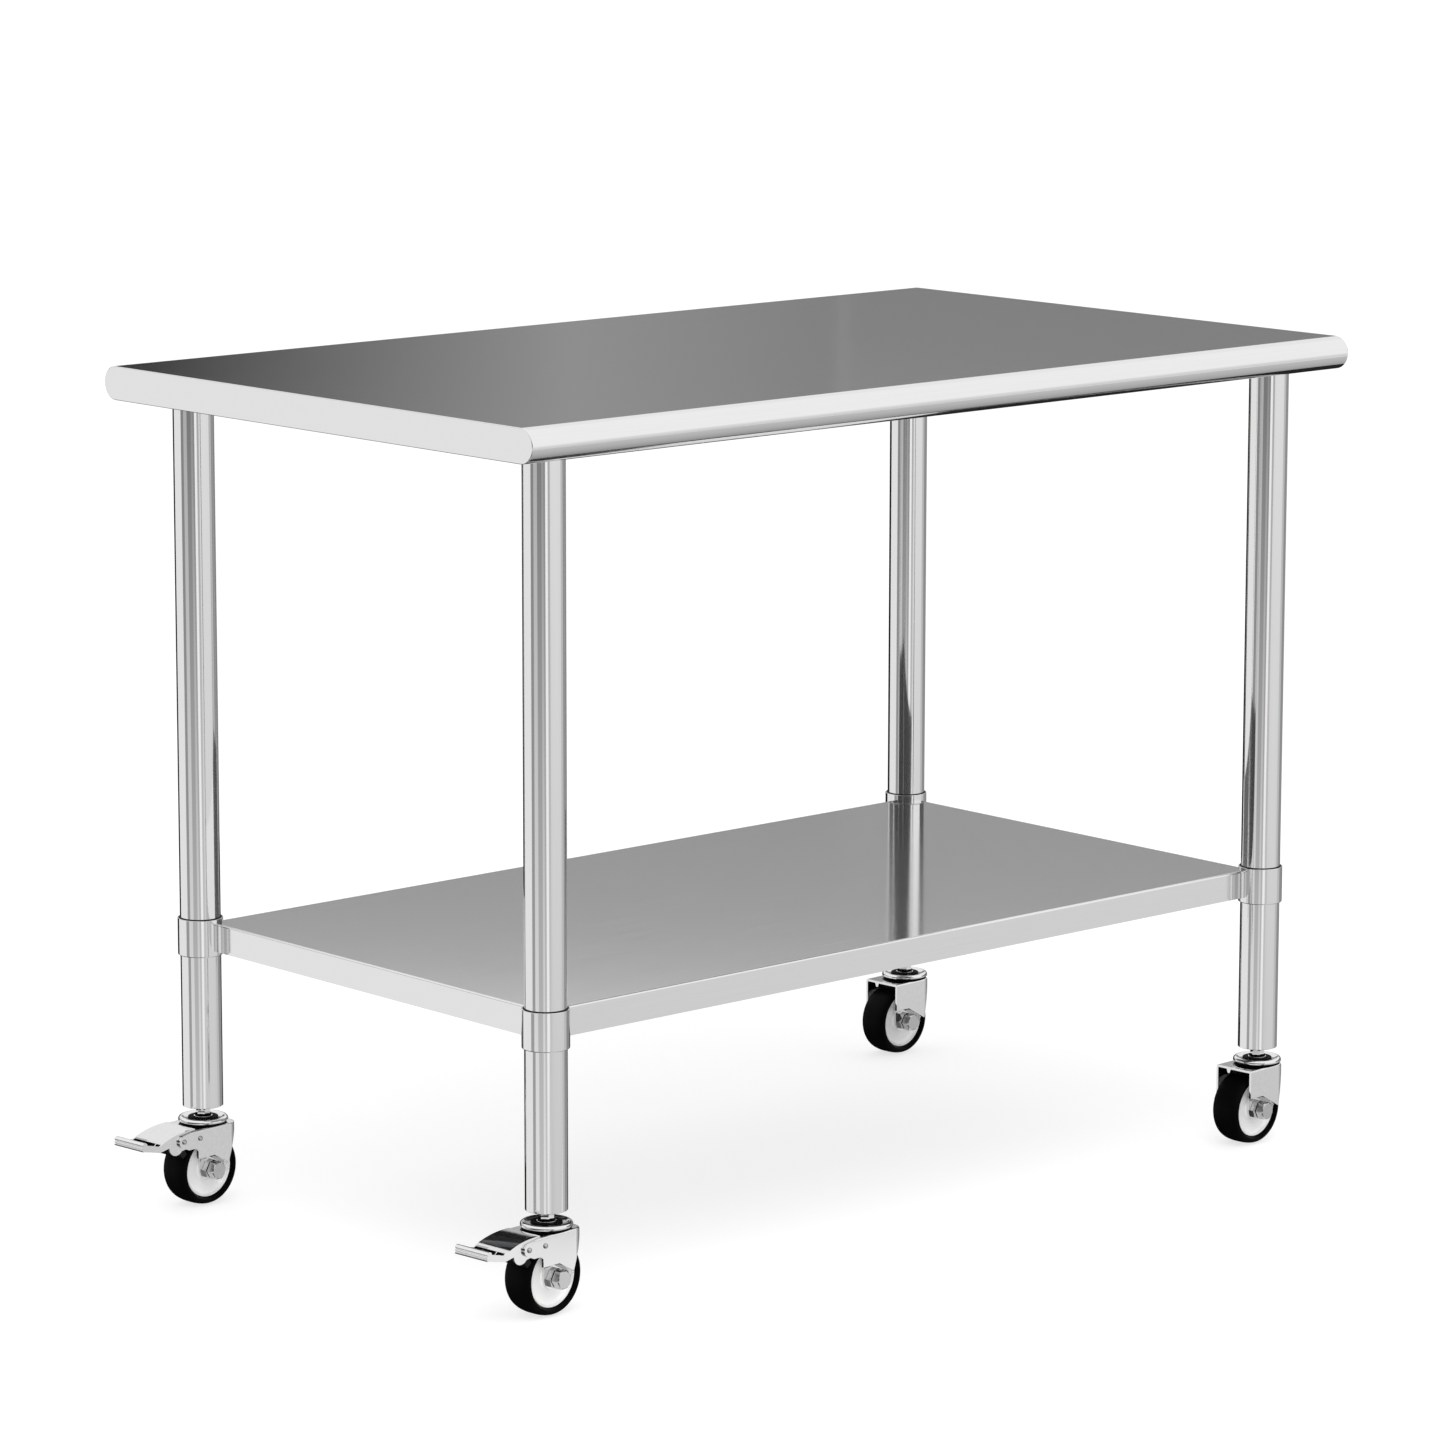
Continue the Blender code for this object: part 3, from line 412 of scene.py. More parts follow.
def smooth(piece, degrees=SHARP_DEG, edge_round=0.0):
    """Round the sharp edges where a size is given, then shade smooth and keep the flat faces flat."""
    hold(piece)
    if edge_round:
        modifier = piece.modifiers.new("round", "BEVEL")
        modifier.width = edge_round
        modifier.segments = 2
        modifier.limit_method = "ANGLE"
        modifier.angle_limit = math.radians(degrees)
        bpy.ops.object.modifier_apply(modifier=modifier.name)
    bpy.ops.object.shade_smooth_by_angle(angle=math.radians(degrees))
    modifier = piece.modifiers.new("flat_faces", "WEIGHTED_NORMAL")
    modifier.keep_sharp = True
    modifier.weight = 90
    bpy.ops.object.modifier_apply(modifier=modifier.name)
    return piece


def same_x(edge):
    return abs(edge.verts[0].co.x - edge.verts[1].co.x) < TOUCH


def at_height(height):
    """A test for edges that lie at a height or above it."""
    return lambda edge: min(v.co.z for v in edge.verts) > height - TOUCH


# Materials

def linear(code):
    """Turn an sRGB hex colour into linear red, green, blue and alpha."""
    parts = [int(code[i:i + 2], 16) / 255 for i in (1, 3, 5)]
    return (*[c / 12.92 if c <= 0.04045 else ((c + 0.055) / 1.055) ** 2.4 for c in parts], 1.0)


def add(tree, kind, settings=None, links=None):
    """Add a node, give its sockets and properties their values, and link its inputs."""
    node = tree.nodes.new(kind)
    for key, value in (settings or {}).items():
        if isinstance(key, int) or key in node.inputs:
            node.inputs[key].default_value = value
        else:
            setattr(node, key, value)
    for key, source in (links or {}).items():
        tree.links.new(source, node.inputs[key])
    return node


def new_material(name, **values):
    """Start a material and set the shader's own sockets."""
    material = bpy.data.materials.new(name)
    material.use_nodes = True
    tree = material.node_tree
    shader = tree.nodes["Principled BSDF"]
    for key, value in values.items():
        shader.inputs[key.replace("_", " ")].default_value = value
    return material, tree, shader


def streaks(tree, stretch):
    """Noise drawn out along one axis, as an abrasive belt leaves it."""
    place = add(tree, "ShaderNodeTexCoord")
    drawn = add(tree, "ShaderNodeMapping", {"Scale": stretch}, {"Vector": place.outputs["Object"]})
    settings = {"Scale": 1.0, "Detail": 4.0, "Roughness": 0.65}
    noise = add(tree, "ShaderNodeTexNoise", settings, {"Vector": drawn.outputs["Vector"]})
    return noise.outputs["Fac"]


def clouds(tree, size, detail):
    """Noise of one size in every direction."""
    place = add(tree, "ShaderNodeTexCoord")
    settings = {"Scale": 1 / size, "Detail": detail}
    noise = add(tree, "ShaderNodeTexNoise", settings, {"Vector": place.outputs["Object"]})
    return noise.outputs["Fac"]


def show_marks(tree, shader, tint, shine, tones, spread, gloss, relief=None):
    """Let marks in a surface set its tone, its roughness and, where they have depth, its relief."""
    tone = add(tree, "ShaderNodeValToRGB", None, {"Fac": tint})
    for element, code in zip(tone.color_ramp.elements, tones):
        element.color = linear(code)
    limits = dict(zip(("From Min", "From Max", "To Min", "To Max"), spread + gloss))
    rough = add(tree, "ShaderNodeMapRange", limits, {"Value": shine})
    tree.links.new(tone.outputs["Color"], shader.inputs["Base Color"])
    tree.links.new(rough.outputs["Result"], shader.inputs["Roughness"])
    if relief:
        bump = add(tree, "ShaderNodeBump", relief, {"Height": shine})
        tree.links.new(bump.outputs["Normal"], shader.inputs["Normal"])


# The part of the noise's range that the marks use
LINE_SPREAD = (0.25, 0.75)
CLOUD_SPREAD = (0.3, 0.7)
WHOLE_SPREAD = (0.0, 1.0)


def brushed_stainless():
    # Stainless sheet, belt brushed along its length: a satin mirror with faint long lines,
    # drawn wider than the real ones, which are too fine to show
    line_length = 0.120
    line_pitch = 0.0015
    material, tree, shader = new_material("brushed_stainless_sheet", Metallic=1.0)
    marks = streaks(tree, (1 / line_length, 1 / line_pitch, 1 / line_pitch))
    relief = {"Strength": 0.15, "Distance": 0.00002}
    show_marks(tree, shader, marks, marks, ("#E8E8E8", "#EEEEEE"), LINE_SPREAD, (0.08, 0.11), relief)
    return material


def polished_stainless():
    # Welded tube, polished lengthwise: a clear mirror with faint long lines,
    # drawn wider than the real ones, which are too fine to show
    line_length = 0.200
    line_pitch = 0.0015
    material, tree, shader = new_material("polished_stainless_tube", Metallic=1.0)
    marks = streaks(tree, (1 / line_pitch, 1 / line_pitch, 1 / line_length))
    show_marks(tree, shader, marks, marks, ("#E6E6E6", "#EDEDED"), LINE_SPREAD, (0.05, 0.08))
    return material


def galvanised_steel():
    # Hot dipped sheet: grey zinc crystals, each with its own tone
    spangle = 0.010
    material, tree, shader = new_material("galvanised_steel_sheet", Metallic=1.0)
    place = add(tree, "ShaderNodeTexCoord")
    cells = add(tree, "ShaderNodeTexVoronoi", {"Scale": 1 / spangle}, {"Vector": place.outputs["Object"]})
    tint = cells.outputs["Color"]
    shine = cells.outputs["Distance"]
    show_marks(tree, shader, tint, shine, ("#A3A5A7", "#BEC0C2"), WHOLE_SPREAD, (0.34, 0.48))
    return material


def plated(name, tones, cloud, detail, gloss):
    """Plated steel: a mirror with a slight cloudiness."""
    material, tree, shader = new_material(name, Metallic=1.0)
    marks = clouds(tree, cloud, detail)
    show_marks(tree, shader, marks, marks, tones, CLOUD_SPREAD, gloss)
    return material


def moulded(name, tones, grain, gloss, sheen, depth):
    """A moulded plastic or rubber: a fine grain from the mould in colour, gloss and relief."""
    material, tree, shader = new_material(name, Specular_IOR_Level=sheen)
    marks = clouds(tree, grain, 4.0)
    relief = {"Strength": 0.3, "Distance": depth}
    show_marks(tree, shader, marks, marks, tones, CLOUD_SPREAD, gloss, relief)
    return material


FINISHES = {
    "brushed_stainless": brushed_stainless(),
    "polished_stainless": polished_stainless(),
    "galvanised_steel": galvanised_steel(),
    # Pressed sheet, bright zinc plated: a light mirror, slightly clouded
    "zinc_plate": plated("bright_zinc_plated_sheet", ("#E2E2E2", "#EEEEEE"), 0.004, 3.0, (0.05, 0.08)),
    # Bolts, nuts and rivets, zinc plated over turned steel: greyer than the sheet
    "zinc_bolts": plated("grey_zinc_plated_bolts", ("#C0C0C0", "#CACACA"), 0.004, 3.0, (0.05, 0.08)),
    # Chromium over polished steel: the clearest mirror on the table
    "chrome_plate": plated("chromium_plated_steel", ("#E6E6E6", "#EEEEEE"), 0.006, 2.0, (0.03, 0.05)),
    # Injection moulded nylon: opaque white with a soft sheen
    "white_nylon": moulded("white_nylon", ("#F8F8F7", "#FCFCFB"), 0.002, (0.38, 0.46), 0.5, 0.00001),
    # Vulcanised rubber: nearly black, with a dull broad sheen
    "black_rubber": moulded("black_rubber", ("#020202", "#050505"), 0.0012, (0.50, 0.62), 0.06, 0.00003),
    # Moulded polyamide: black, with a little more sheen than the rubber
    "black_plastic": moulded("black_polyamide", ("#080808", "#0E0E0E"), 0.0015, (0.38, 0.50), 0.2, 0.00002),
}


def finished(piece, finish, body, node=None):
    """Give a piece its material and its body, and hide the CAD node that it stands for, if any."""
    piece.data.materials.clear()
    piece.data.materials.append(FINISHES[finish])
    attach(piece, body)
    if node:
        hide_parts(node)


def placed(source, name, place, turn=0.0):
    """A copy of a modelled piece with its own mesh, turned and moved to its place."""
    piece = source.copy()
    piece.data = source.data.copy()
    piece.name = name
    bpy.context.scene.collection.objects.link(piece)
    piece.data.transform(Matrix.Translation(place) @ Matrix.Rotation(turn, 4, "Z"))
    return piece


def fit(source, corner, name, place, turn, finish, body, node=None):
    """Put a copy of a modelled piece in its place at one corner of the table, and finish it."""
    piece = placed(source, name + corner, place, turn)
    finished(piece, finish, body, node + corner if node else None)


def discard(pieces):
    for piece in pieces:
        bpy.data.objects.remove(piece, do_unlink=True)


# Worktop and its channels

def stadium(low, high, inset):
    """End view of the worktop: two flats and two half rounds."""
    radius = (high.z - low.z) / 2 - inset
    middle = (high.z + low.z) / 2
    reach = high.y - (high.z - low.z) / 2
    return arc(reach, middle, radius, -90, 90, 32) + arc(-reach, middle, radius, 90, 270, 32)


def worktop():
    """Sheet rolled to a bullnose at front and back, closed by flat ends, with returns underneath."""
    low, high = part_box("table_top")
    sheet = plate("worktop_sheet", stadium(low, high, 0.0), low.x, high.x, "X")
    bevel_edges(sheet, same_x, TOP_EDGE_ROUND, 4)
    hollow = stadium(low, high, TOP_SHEET)
    inside = plate("inside", hollow, low.x + TOP_SHEET, high.x - TOP_SHEET, "X")
    middle = (high.z + low.z) / 2
    reach = high.y - (high.z - low.z) / 2 - TOP_EDGE_RETURN
    near = (low.x + TOP_END_RETURN, -reach, low.z - TOP_EDGE_RETURN)
    far = (high.x - TOP_END_RETURN, reach, middle)
    combine(sheet, [inside, block("opening", near, far)])
    return smooth(sheet)


def hat_outline(brim, height):
    """Section of a hat channel with rounded folds: brims against the sheet at zero, crown below."""
    sheet = CHANNEL_SHEET
    bend = CHANNEL_BEND
    inner = bend - sheet
    crown = CHANNEL_CROWN / 2
    right = arc(crown - bend, bend - height, inner, -90, 0, 5)
    right += arc(crown - sheet + bend, -bend, bend, 180, 90, 5)
    right += [(brim, 0), (brim, -sheet)]
    right += arc(crown + inner, -bend, inner, 90, 180, 5)
    right += arc(crown - bend, bend - height, bend, 0, -90, 5)
    left = [(-u, v) for u, v in reversed(right)]
    return right + left


def top_channel():
    """Channel across the underside of the worktop, drawn about its own middle."""
    low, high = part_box("top_channel_middle")
    outline = hat_outline((high.x - low.x) / 2, high.z - low.z)
    outline = [(u, v + high.z) for u, v in outline]
    return smooth(plate("top_channel", outline, low.y, high.y, "Y"))


def shelf_channel():
    """Channel along the underside of the shelf."""
    low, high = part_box("shelf_channel")
    outline = hat_outline((high.y - low.y) / 2, high.z - low.z)
    outline = [(u, v + high.z) for u, v in outline]
    return smooth(plate("shelf_stiffener", outline, low.x, high.x, "X"))


# Legs, sockets, sleeves and shelf

def tube(name, inner, outer, low, high, edge):
    """Round tube with its four rims taken off."""
    profile = [(inner, low + edge), (inner + edge, low), (outer - edge, low), (outer, low + edge)]
    profile += [(outer, high - edge), (outer - edge, high), (inner + edge, high), (inner, high - edge)]
    return smooth(turned(name, profile + profile[:1], TUBE_STEPS))


def leg_socket():
    """Cup that holds the top of a leg, with a flange and its weld against the channel."""
    low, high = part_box("leg_socket_fl")
    inner = LEG_R + SEAT_GAP
    outer = inner + SOCKET_WALL
    flange = (high.x - low.x) / 2
    plate_z = high.z - SOCKET_PLATE
    weld = SOCKET_WALL / 2
    edge = SOCKET_EDGE
    rim = SOCKET_RIM
    profile = [(0, high.z), (flange - edge, high.z), (flange, high.z - edge)]
    profile += [(flange, plate_z + edge), (flange - edge, plate_z)]
    profile += arc(outer + weld, plate_z - weld, weld, 90, 180, 5)
    profile += arc(outer - rim, low.z + rim, rim, 0, -90, 4)
    profile += [(inner + SOCKET_MOUTH, low.z), (inner, low.z + SOCKET_MOUTH), (inner, plate_z), (0, plate_z)]
    return smooth(turned("socket", profile, TUBE_STEPS))


def shelf_pan():
    """Shallow pan with folded sides and returns, notched at the corners for the sleeves."""
    low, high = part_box("undershelf")
    pan = block("shelf_pan", low, high)
    bevel_edges(pan, at_height(high.z), SHELF_BEND, 5)
    skin = Vector((SHELF_SHEET, SHELF_SHEET, SHELF_SHEET))
    inside = block("inside", low + skin, high - skin)
    bevel_edges(inside, at_height(high.z - SHELF_SHEET), SHELF_BEND - SHELF_SHEET, 4)
    edge = Vector((SHELF_RETURN, SHELF_RETURN, 0))
    drop = Vector((0, 0, SHELF_RETURN))
    opening = block("opening", low + edge - drop, high - edge - drop)
    notches = []
    for corner in CORNERS:
        axis = leg_axis(corner)
        room = SLEEVE_R + SEAT_GAP
        notches.append(bar("notch", room, low.z - CUT_PAST, high.z + CUT_PAST, TUBE_STEPS, "Z", axis))
    combine(pan, [inside, opening] + notches)
    return smooth(pan)


def leg_axis(corner):
    """Where a leg's axis meets the floor."""
    low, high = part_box("leg_" + corner)
    return Vector(((low.x + high.x) / 2, (low.y + high.y) / 2, 0.0))


def shelf_sleeve():
    """Collar that clamps the shelf to a leg, rounded at its rims."""
    low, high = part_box("shelf_sleeve_fl")
    rim = SLEEVE_ROUND
    profile = [(SLEEVE_INNER_R + rim, low.z)]
    profile += arc(SLEEVE_R - rim, low.z + rim, rim, -90, 0, 5)
    profile += arc(SLEEVE_R - rim / 2, high.z - rim / 2, rim / 2, 0, 90, 4)
    profile += [(SLEEVE_INNER_R + rim, high.z), (SLEEVE_INNER_R, high.z - rim)]
    profile += [(SLEEVE_INNER_R, low.z + rim), (SLEEVE_INNER_R + rim, low.z)]
    return smooth(turned("sleeve", profile, TUBE_STEPS))


def sleeve_gap_shade_liner():
    """Black ring between a sleeve and its leg; it stands above the sleeve as a thin black line of painted
    shade for the gap there.
    """
    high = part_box("shelf_sleeve_fl")[1].z
    outer = SLEEVE_INNER_R + SLEEVE_ROUND - RUN_GAP
    return tube("gap_shade_liner", LEG_R + RUN_GAP, outer, high - GAP_SHADE_LINER_SHOW, high + GAP_SHADE_LINER_SHOW, GAP_SHADE_LINER_SHOW / 4)


def set_screw():
    """Headless screw with a hexagon key hole, pointing out of a sleeve along Y."""
    start = SLEEVE_R - SLEEVE_WALL / 2
    end = SLEEVE_R + SET_SCREW_SHOW
    edge = SET_SCREW_R / 6
    profile = [(0, start), (SET_SCREW_R, start), (SET_SCREW_R, end - edge)]
    profile += [(SET_SCREW_R - edge, end), (0, end)]
    screw = turned("set_screw", profile, PIN_STEPS, "Y")
    key = hexagon("key", SET_SCREW_KEY, end - SET_SCREW_SHOW / 2, end + SET_SCREW_SHOW, "Y")
    return smooth(combine(screw, [key]))


def leg_plug():
    """Plug in the foot of a leg, bored for the caster's stem."""
    low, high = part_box("leg_insert_fl")
    outer = LEG_R - LEG_WALL - SEAT_GAP
    return tube("plug", STEM_R + SEAT_GAP, outer, low.z, high.z, PLUG_EDGE)


# Caster: swivel head and bearing

def hexagon(name, across, inner, outer, along, chamfer=True):
    """Hexagon with a square inner end, and the chamfer that a lathe leaves on the outer one."""
    radius = across / 2 / math.cos(math.pi / 6)
    nut = turned(name, [(0, inner), (radius, inner), (radius, outer), (0, outer)], 6, along)
    if not chamfer:
        return nut
    slope = (radius - across / 2) * NUT_CHAMFER
    drop = math.copysign(slope, outer - inner)
    profile = [(0, inner - drop), (radius + slope, inner - drop), (radius + slope, outer - drop * 2)]
    profile += [(radius - slope, outer), (0, outer)]
    return combine(nut, [turned("chamfer", profile, PIN_STEPS, along)], "INTERSECT")


def swivel_head():
    """Threaded stem, hexagon, collar, race cup with a rolled rim, and the king pin below."""
    top = STEM_HIGH.z
    low = STEM_LOW.z
    head_top = low + KING_PIN_HEAD
    turns = int((top - HEX_TOP_Z) / THREAD_PITCH) - 1
    profile = [(0, top), (STEM_R - THREAD_DEPTH * 2, top)]
    for index in range(turns):
        crest = top - THREAD_PITCH * (index + THREAD_LEAD)
        profile += [(STEM_R, crest), (STEM_R - THREAD_DEPTH, crest - THREAD_PITCH / 2)]
    profile += [(STEM_R, HEX_TOP_Z + THREAD_RUN_OUT), (STEM_R, HEX_LOW_Z + STEM_HEX_OVERLAP)]
    profile += arc(COLLAR_R - COLLAR_EDGE, HEX_LOW_Z - COLLAR_EDGE, COLLAR_EDGE, 90, 0, 3)
    profile += [(COLLAR_R, CUP_TOP_Z - CUP_DISH)]
    roll_z = CUP_TOP_Z + CUP_SHEET * CUP_ROLL_LIFT - CUP_ROLL
    dish_r = (COLLAR_R + CUP_R - CUP_ROLL) / 2
    profile += [(dish_r + CUP_DISH_STEP, CUP_TOP_Z - CUP_DISH)]
    profile += arc(CUP_R - CUP_ROLL, roll_z, CUP_ROLL, 120, -20, 14)
    profile += [(CUP_R - CUP_SHEET * CUP_SKIRT_INSET, FORK_TOP_Z + CUP_LIFT)]
    profile += [(CUP_R - CUP_SHEET, CUP_UNDER_Z - CUP_SHEET), (CUP_R - CUP_SHEET * 2, CUP_UNDER_Z)]
    profile += [(KING_PIN_R, CUP_UNDER_Z), (KING_PIN_R, head_top)]
    profile += [(KING_PIN_HEAD_R, head_top)]
    profile += arc(KING_PIN_HEAD_R - KING_PIN_ROUND, low + KING_PIN_ROUND, KING_PIN_ROUND, 0, -90, 4)
    profile += [(0, low)]
    head = turned("swivel_head", profile, TUBE_STEPS)
    nut = hexagon("nut", STEM_HEX_ACROSS, HEX_LOW_Z - COLLAR_HEIGHT / 2, HEX_TOP_Z, "Z")
    combine(head, [nut], "UNION")
    return smooth(head)


def bearing():
    """Steel balls between the plate and the cup, with the ring that spaces them."""
    profile = arc(BALL_PITCH_R, BALL_Z, BALL_R * CAGE_SHARE, 0, 360, 8)
    ring = turned("bearing", profile, TUBE_STEPS)
    balls = []
    for index in range(BALL_COUNT):
        turn = math.tau * index / BALL_COUNT
        place = (BALL_PITCH_R * math.cos(turn), BALL_PITCH_R * math.sin(turn), BALL_Z)
        fresh_start()
        bpy.ops.mesh.primitive_uv_sphere_add(segments=20, ring_count=12, radius=BALL_R, location=place)
        bpy.ops.object.transform_apply(location=True, rotation=False, scale=False)
        balls.append(bpy.context.object)
    return smooth(join(ring, balls))


def dust_seal():
    """Rubber ring under the cup's rim that keeps dirt out of the balls."""
    outer = CUP_R - CUP_SHEET - RUN_GAP
    low = FORK_TOP_Z + RUN_GAP
    return tube("seal", outer - SEAL_WIDTH, outer, low, low + SEAL_HEIGHT, SEAL_EDGE)


def stem_seal():
    """Rubber rings that keep water out of the cup, one round the collar and one round the hexagon; their
    black also paints the dark reflection in the cup's dish.
    """
    dish = CUP_TOP_Z - CUP_DISH
    ring = tube("stem_seal", COLLAR_R, DISH_SEAL_AND_REFLECTION_R, dish, dish + DISH_SEAL_AND_REFLECTION_HEIGHT, DISH_SEAL_AND_REFLECTION_EDGE)
    corner = STEM_HEX_ACROSS / 2 / math.cos(math.pi / 6)
    outer = COLLAR_R - HEX_SEAL_AND_REFLECTION_INSET
    inner = tube("inner_ring", corner, outer, HEX_LOW_Z, HEX_LOW_Z + HEX_SEAL_AND_REFLECTION_HEIGHT, HEX_SEAL_AND_REFLECTION_EDGE)
    return join(ring, [inner])


# Caster: fork

def fork_outline(trail, front, rear, heel, braked):
    """Side view of the fork: arms with round ends, and pivot eyes in front where there is a brake."""
    foot = arc(-trail, AXLE_Z, ARM_END_R, 180, 300, 20)
    tab = [(foot[0][0], JOGGLE_LOW_Z)] + foot
    back = [(heel - ARM_HEEL_STEP, AXLE_Z - ARM_HEEL_DROP), (heel, AXLE_Z + ARM_HEEL_RISE)]
    back += [(rear - ARM_BACK_TAPER, FORK_TOP_Z - ARM_BACK_DROP * 2)]
    back += [(rear, FORK_TOP_Z - ARM_BACK_DROP), (rear, FORK_TOP_Z + FORK_SHEET)]
    if not braked:
        return [(-front, FORK_TOP_Z + FORK_SHEET), (-front, JOGGLE_TOP_Z)] + tab + back
    eye = arc(-PIVOT_REACH, PIVOT_HEIGHT, PIVOT_EYE, 100, 250, 14)
    under = PIVOT_HEIGHT - PIVOT_EYE * THROAT_DROP_EYES
    throat_x = -BRAKED_FRONT + THROAT_LEAD
    throat = [(PIVOT_EYE - PIVOT_REACH, under)]
    throat += arc(throat_x - THROAT_ROUND, under - THROAT_ROUND, THROAT_ROUND, 90, 0, 6)
    throat += [(throat_x, JOGGLE_TOP_Z)]
    brow = [(-front, FORK_TOP_Z + FORK_SHEET), (-front, FORK_TOP_Z)]
    return brow + eye + throat + tab + back


def fork_plan(front, rear, half, corner):
    """Outline of the fork from above: square in front, round corners behind."""
    inset = half - corner
    outline = [(-front, -half)]
    outline += arc(rear - corner, -inset, corner, -90, 0, 12)
    outline += arc(rear - corner, inset, corner, 0, 90, 12)
    return outline + [(-front, half)]


def tooth(front):
    """Small rounded tab that hangs from the front edge of a plain fork's plate."""
    half = TOOTH_WIDTH / 2
    end = half * TOOTH_ROUND_SHARE
    outline = [(TOOTH_SIDE + half, FORK_TOP_Z - FORK_BEND), (TOOTH_SIDE - half, FORK_TOP_Z - FORK_BEND)]
    outline += arc(TOOTH_SIDE, PLATE_LOW_Z - TOOTH_DROP + end, end, 180, 360, 10)
    return plate("tooth", outline, -front, FORK_SHEET - front, "X")


def eased(share):
    """A share kept between zero and one, that starts and ends softly."""
    share = min(1.0, max(0.0, share))
    return share * share * (3 - 2 * share)


def pocketed(piece, trail):
    """Press the arms in round the axle to a pocket that is open below and in front."""
    corner = Vector((POCKET_LEAD - trail, 0, JOGGLE_TOP_Z))
    down = Vector((0, 0, -1))
    inward = Vector((-math.sin(POCKET_LEAN), 0, -math.cos(POCKET_LEAN)))
    creases = 8
    folds = [(corner, down - inward)]
    for facing in (inward, down):
        folds += [(corner + facing * JOGGLE_SLOPE * step / creases, facing) for step in range(creases + 1)]
    edit(piece)
    for place, facing in reversed(folds):
        choose("FACE", lambda face: min(v.co.z for v in face.verts) < JOGGLE_TOP_Z - TOUCH)
        bpy.ops.mesh.bisect(plane_co=place, plane_no=facing)
    bpy.ops.object.mode_set(mode="OBJECT")
    for vert in piece.data.vertices:
        reach = vert.co - corner
        share = min(reach.dot(down), reach.dot(inward)) / JOGGLE_SLOPE
        vert.co.y -= math.copysign(ARM_JOGGLE * eased(share), vert.co.y)
    return piece


def fork(name, trail, front, rear, heel, braked):
    """Pressed fork: top plate, two arms with a pocket for the axle nuts, and a rounded skirt behind."""
    foremost = PIVOT_REACH + PIVOT_EYE * 2 if braked else front
    blank = plate(name, fork_plan(foremost, rear, FORK_HALF, FORK_CORNER), 0.0, FORK_TOP_Z, "Z")
    on_top = at_height(FORK_TOP_Z)
    in_front = lambda e: same_x(e) and e.verts[0].co.x < TOUCH - foremost
    bevel_edges(blank, lambda e: on_top(e) and not in_front(e), FORK_BEND, 6)
    inner = FORK_GAP_HALF
    hollow = fork_plan(foremost * 2, rear - FORK_SHEET, inner, FORK_CORNER - FORK_SHEET)
    outline = fork_outline(trail, front, rear, heel, braked)
    combine(blank, [plate("side", outline, -FORK_HALF * 2, FORK_HALF * 2, "Y")], "INTERSECT")
    tools = [plate("hollow", hollow, -CUT_PAST, PLATE_LOW_Z, "Z")]
    tools.append(block("gap", (-foremost * 2, -inner, -CUT_PAST), (rear * 2, inner, JOGGLE_TOP_Z)))
    tyre_half = inner - FORK_LIP
    axle = (-trail, 0, AXLE_Z)
    clear = TYRE_R + TYRE_CLEARANCE
    tools.append(bar("tyre_room", clear, -tyre_half, tyre_half, PIN_STEPS, "Y", axle))
    tools.append(bar("axle_hole", AXLE_R + SEAT_GAP, -inner * 2, inner * 2, PIN_STEPS, "Y", axle))
    pin_hole = KING_PIN_R + RUN_GAP * 2
    tools.append(bar("pin_hole", pin_hole, PLATE_LOW_Z - FORK_SHEET, FORK_TOP_Z * 2, PIN_STEPS, "Z"))
    if braked:
        tools.append(block("pedal_room", (-foremost * 2, -inner, 0.0), (-front, inner, FORK_TOP_Z * 2)))
        hole = RIVET_R + RUN_GAP
        for reach in (PIVOT_REACH, SPACER_REACH):
            place = (-reach, 0, PIVOT_HEIGHT)
            tools.append(bar("rivet_hole", hole, -inner * 2, inner * 2, PIN_STEPS, "Y", place))
    combine(blank, tools)
    if not braked:
        combine(blank, [tooth(front)], "UNION")
    pocketed(blank, trail)
    return smooth(blank)


# Caster: wheel and axle

def axle():
    """Through bolt with its head behind, and a nut and lock nut in front."""
    lock_start = NUT_SPLIT_Y - NUT_SPLIT
    half_nut = NUT_HEIGHT / 2
    near = -NUT_SEAT - half_nut
    far = NUT_SEAT + half_nut
    end = NUT_SPLIT_Y - half_nut
    profile = [(0, far), (AXLE_R, far), (AXLE_R, near), (NUT_NECK_R, near), (NUT_NECK_R, end), (0, end)]
    bolt = turned("axle", profile, PIN_STEPS, "Y")
    nut = hexagon("nut", NUT_ACROSS, -NUT_SEAT, NUT_SPLIT_Y, "Y", False)
    lock_nut = hexagon("lock_nut", NUT_ACROSS, lock_start, lock_start - LOCK_NUT_HEIGHT, "Y")
    head = hexagon("head", NUT_ACROSS, NUT_SEAT, NUT_SEAT + HEAD_HEIGHT, "Y")
    combine(bolt, [nut, lock_nut, head], "UNION")
    return smooth(bolt)


def nut_washer():
    """Black rubber ring between the nut and the lock nut, which paints the shade in the gap between them."""
    rim = NUT_ACROSS * NUT_GAP_SHADE_SHARE
    low = NUT_SPLIT_Y - NUT_SPLIT + NUT_GAP_SHADE_CLEARANCE
    high = NUT_SPLIT_Y - NUT_GAP_SHADE_CLEARANCE
    profile = [(NUT_NECK_R, low), (rim, low), (rim, high), (NUT_NECK_R, high), (NUT_NECK_R, low)]
    return smooth(turned("nut_washer", profile, PIN_STEPS, "Y"))


def bush():
    """Plain bush that the wheel turns on, clamped between the fork's arms."""
    half = ARM_INNER - SEAT_GAP
    inner = AXLE_R + SEAT_GAP
    edge = BUSH_EDGE
    profile = [(inner, -half), (BUSH_R - edge, -half), (BUSH_R, edge - half)]
    profile += [(BUSH_R, half - edge), (BUSH_R - edge, half), (inner, half), (inner, -half)]
    return smooth(turned("bush", profile, PIN_STEPS, "Y"))


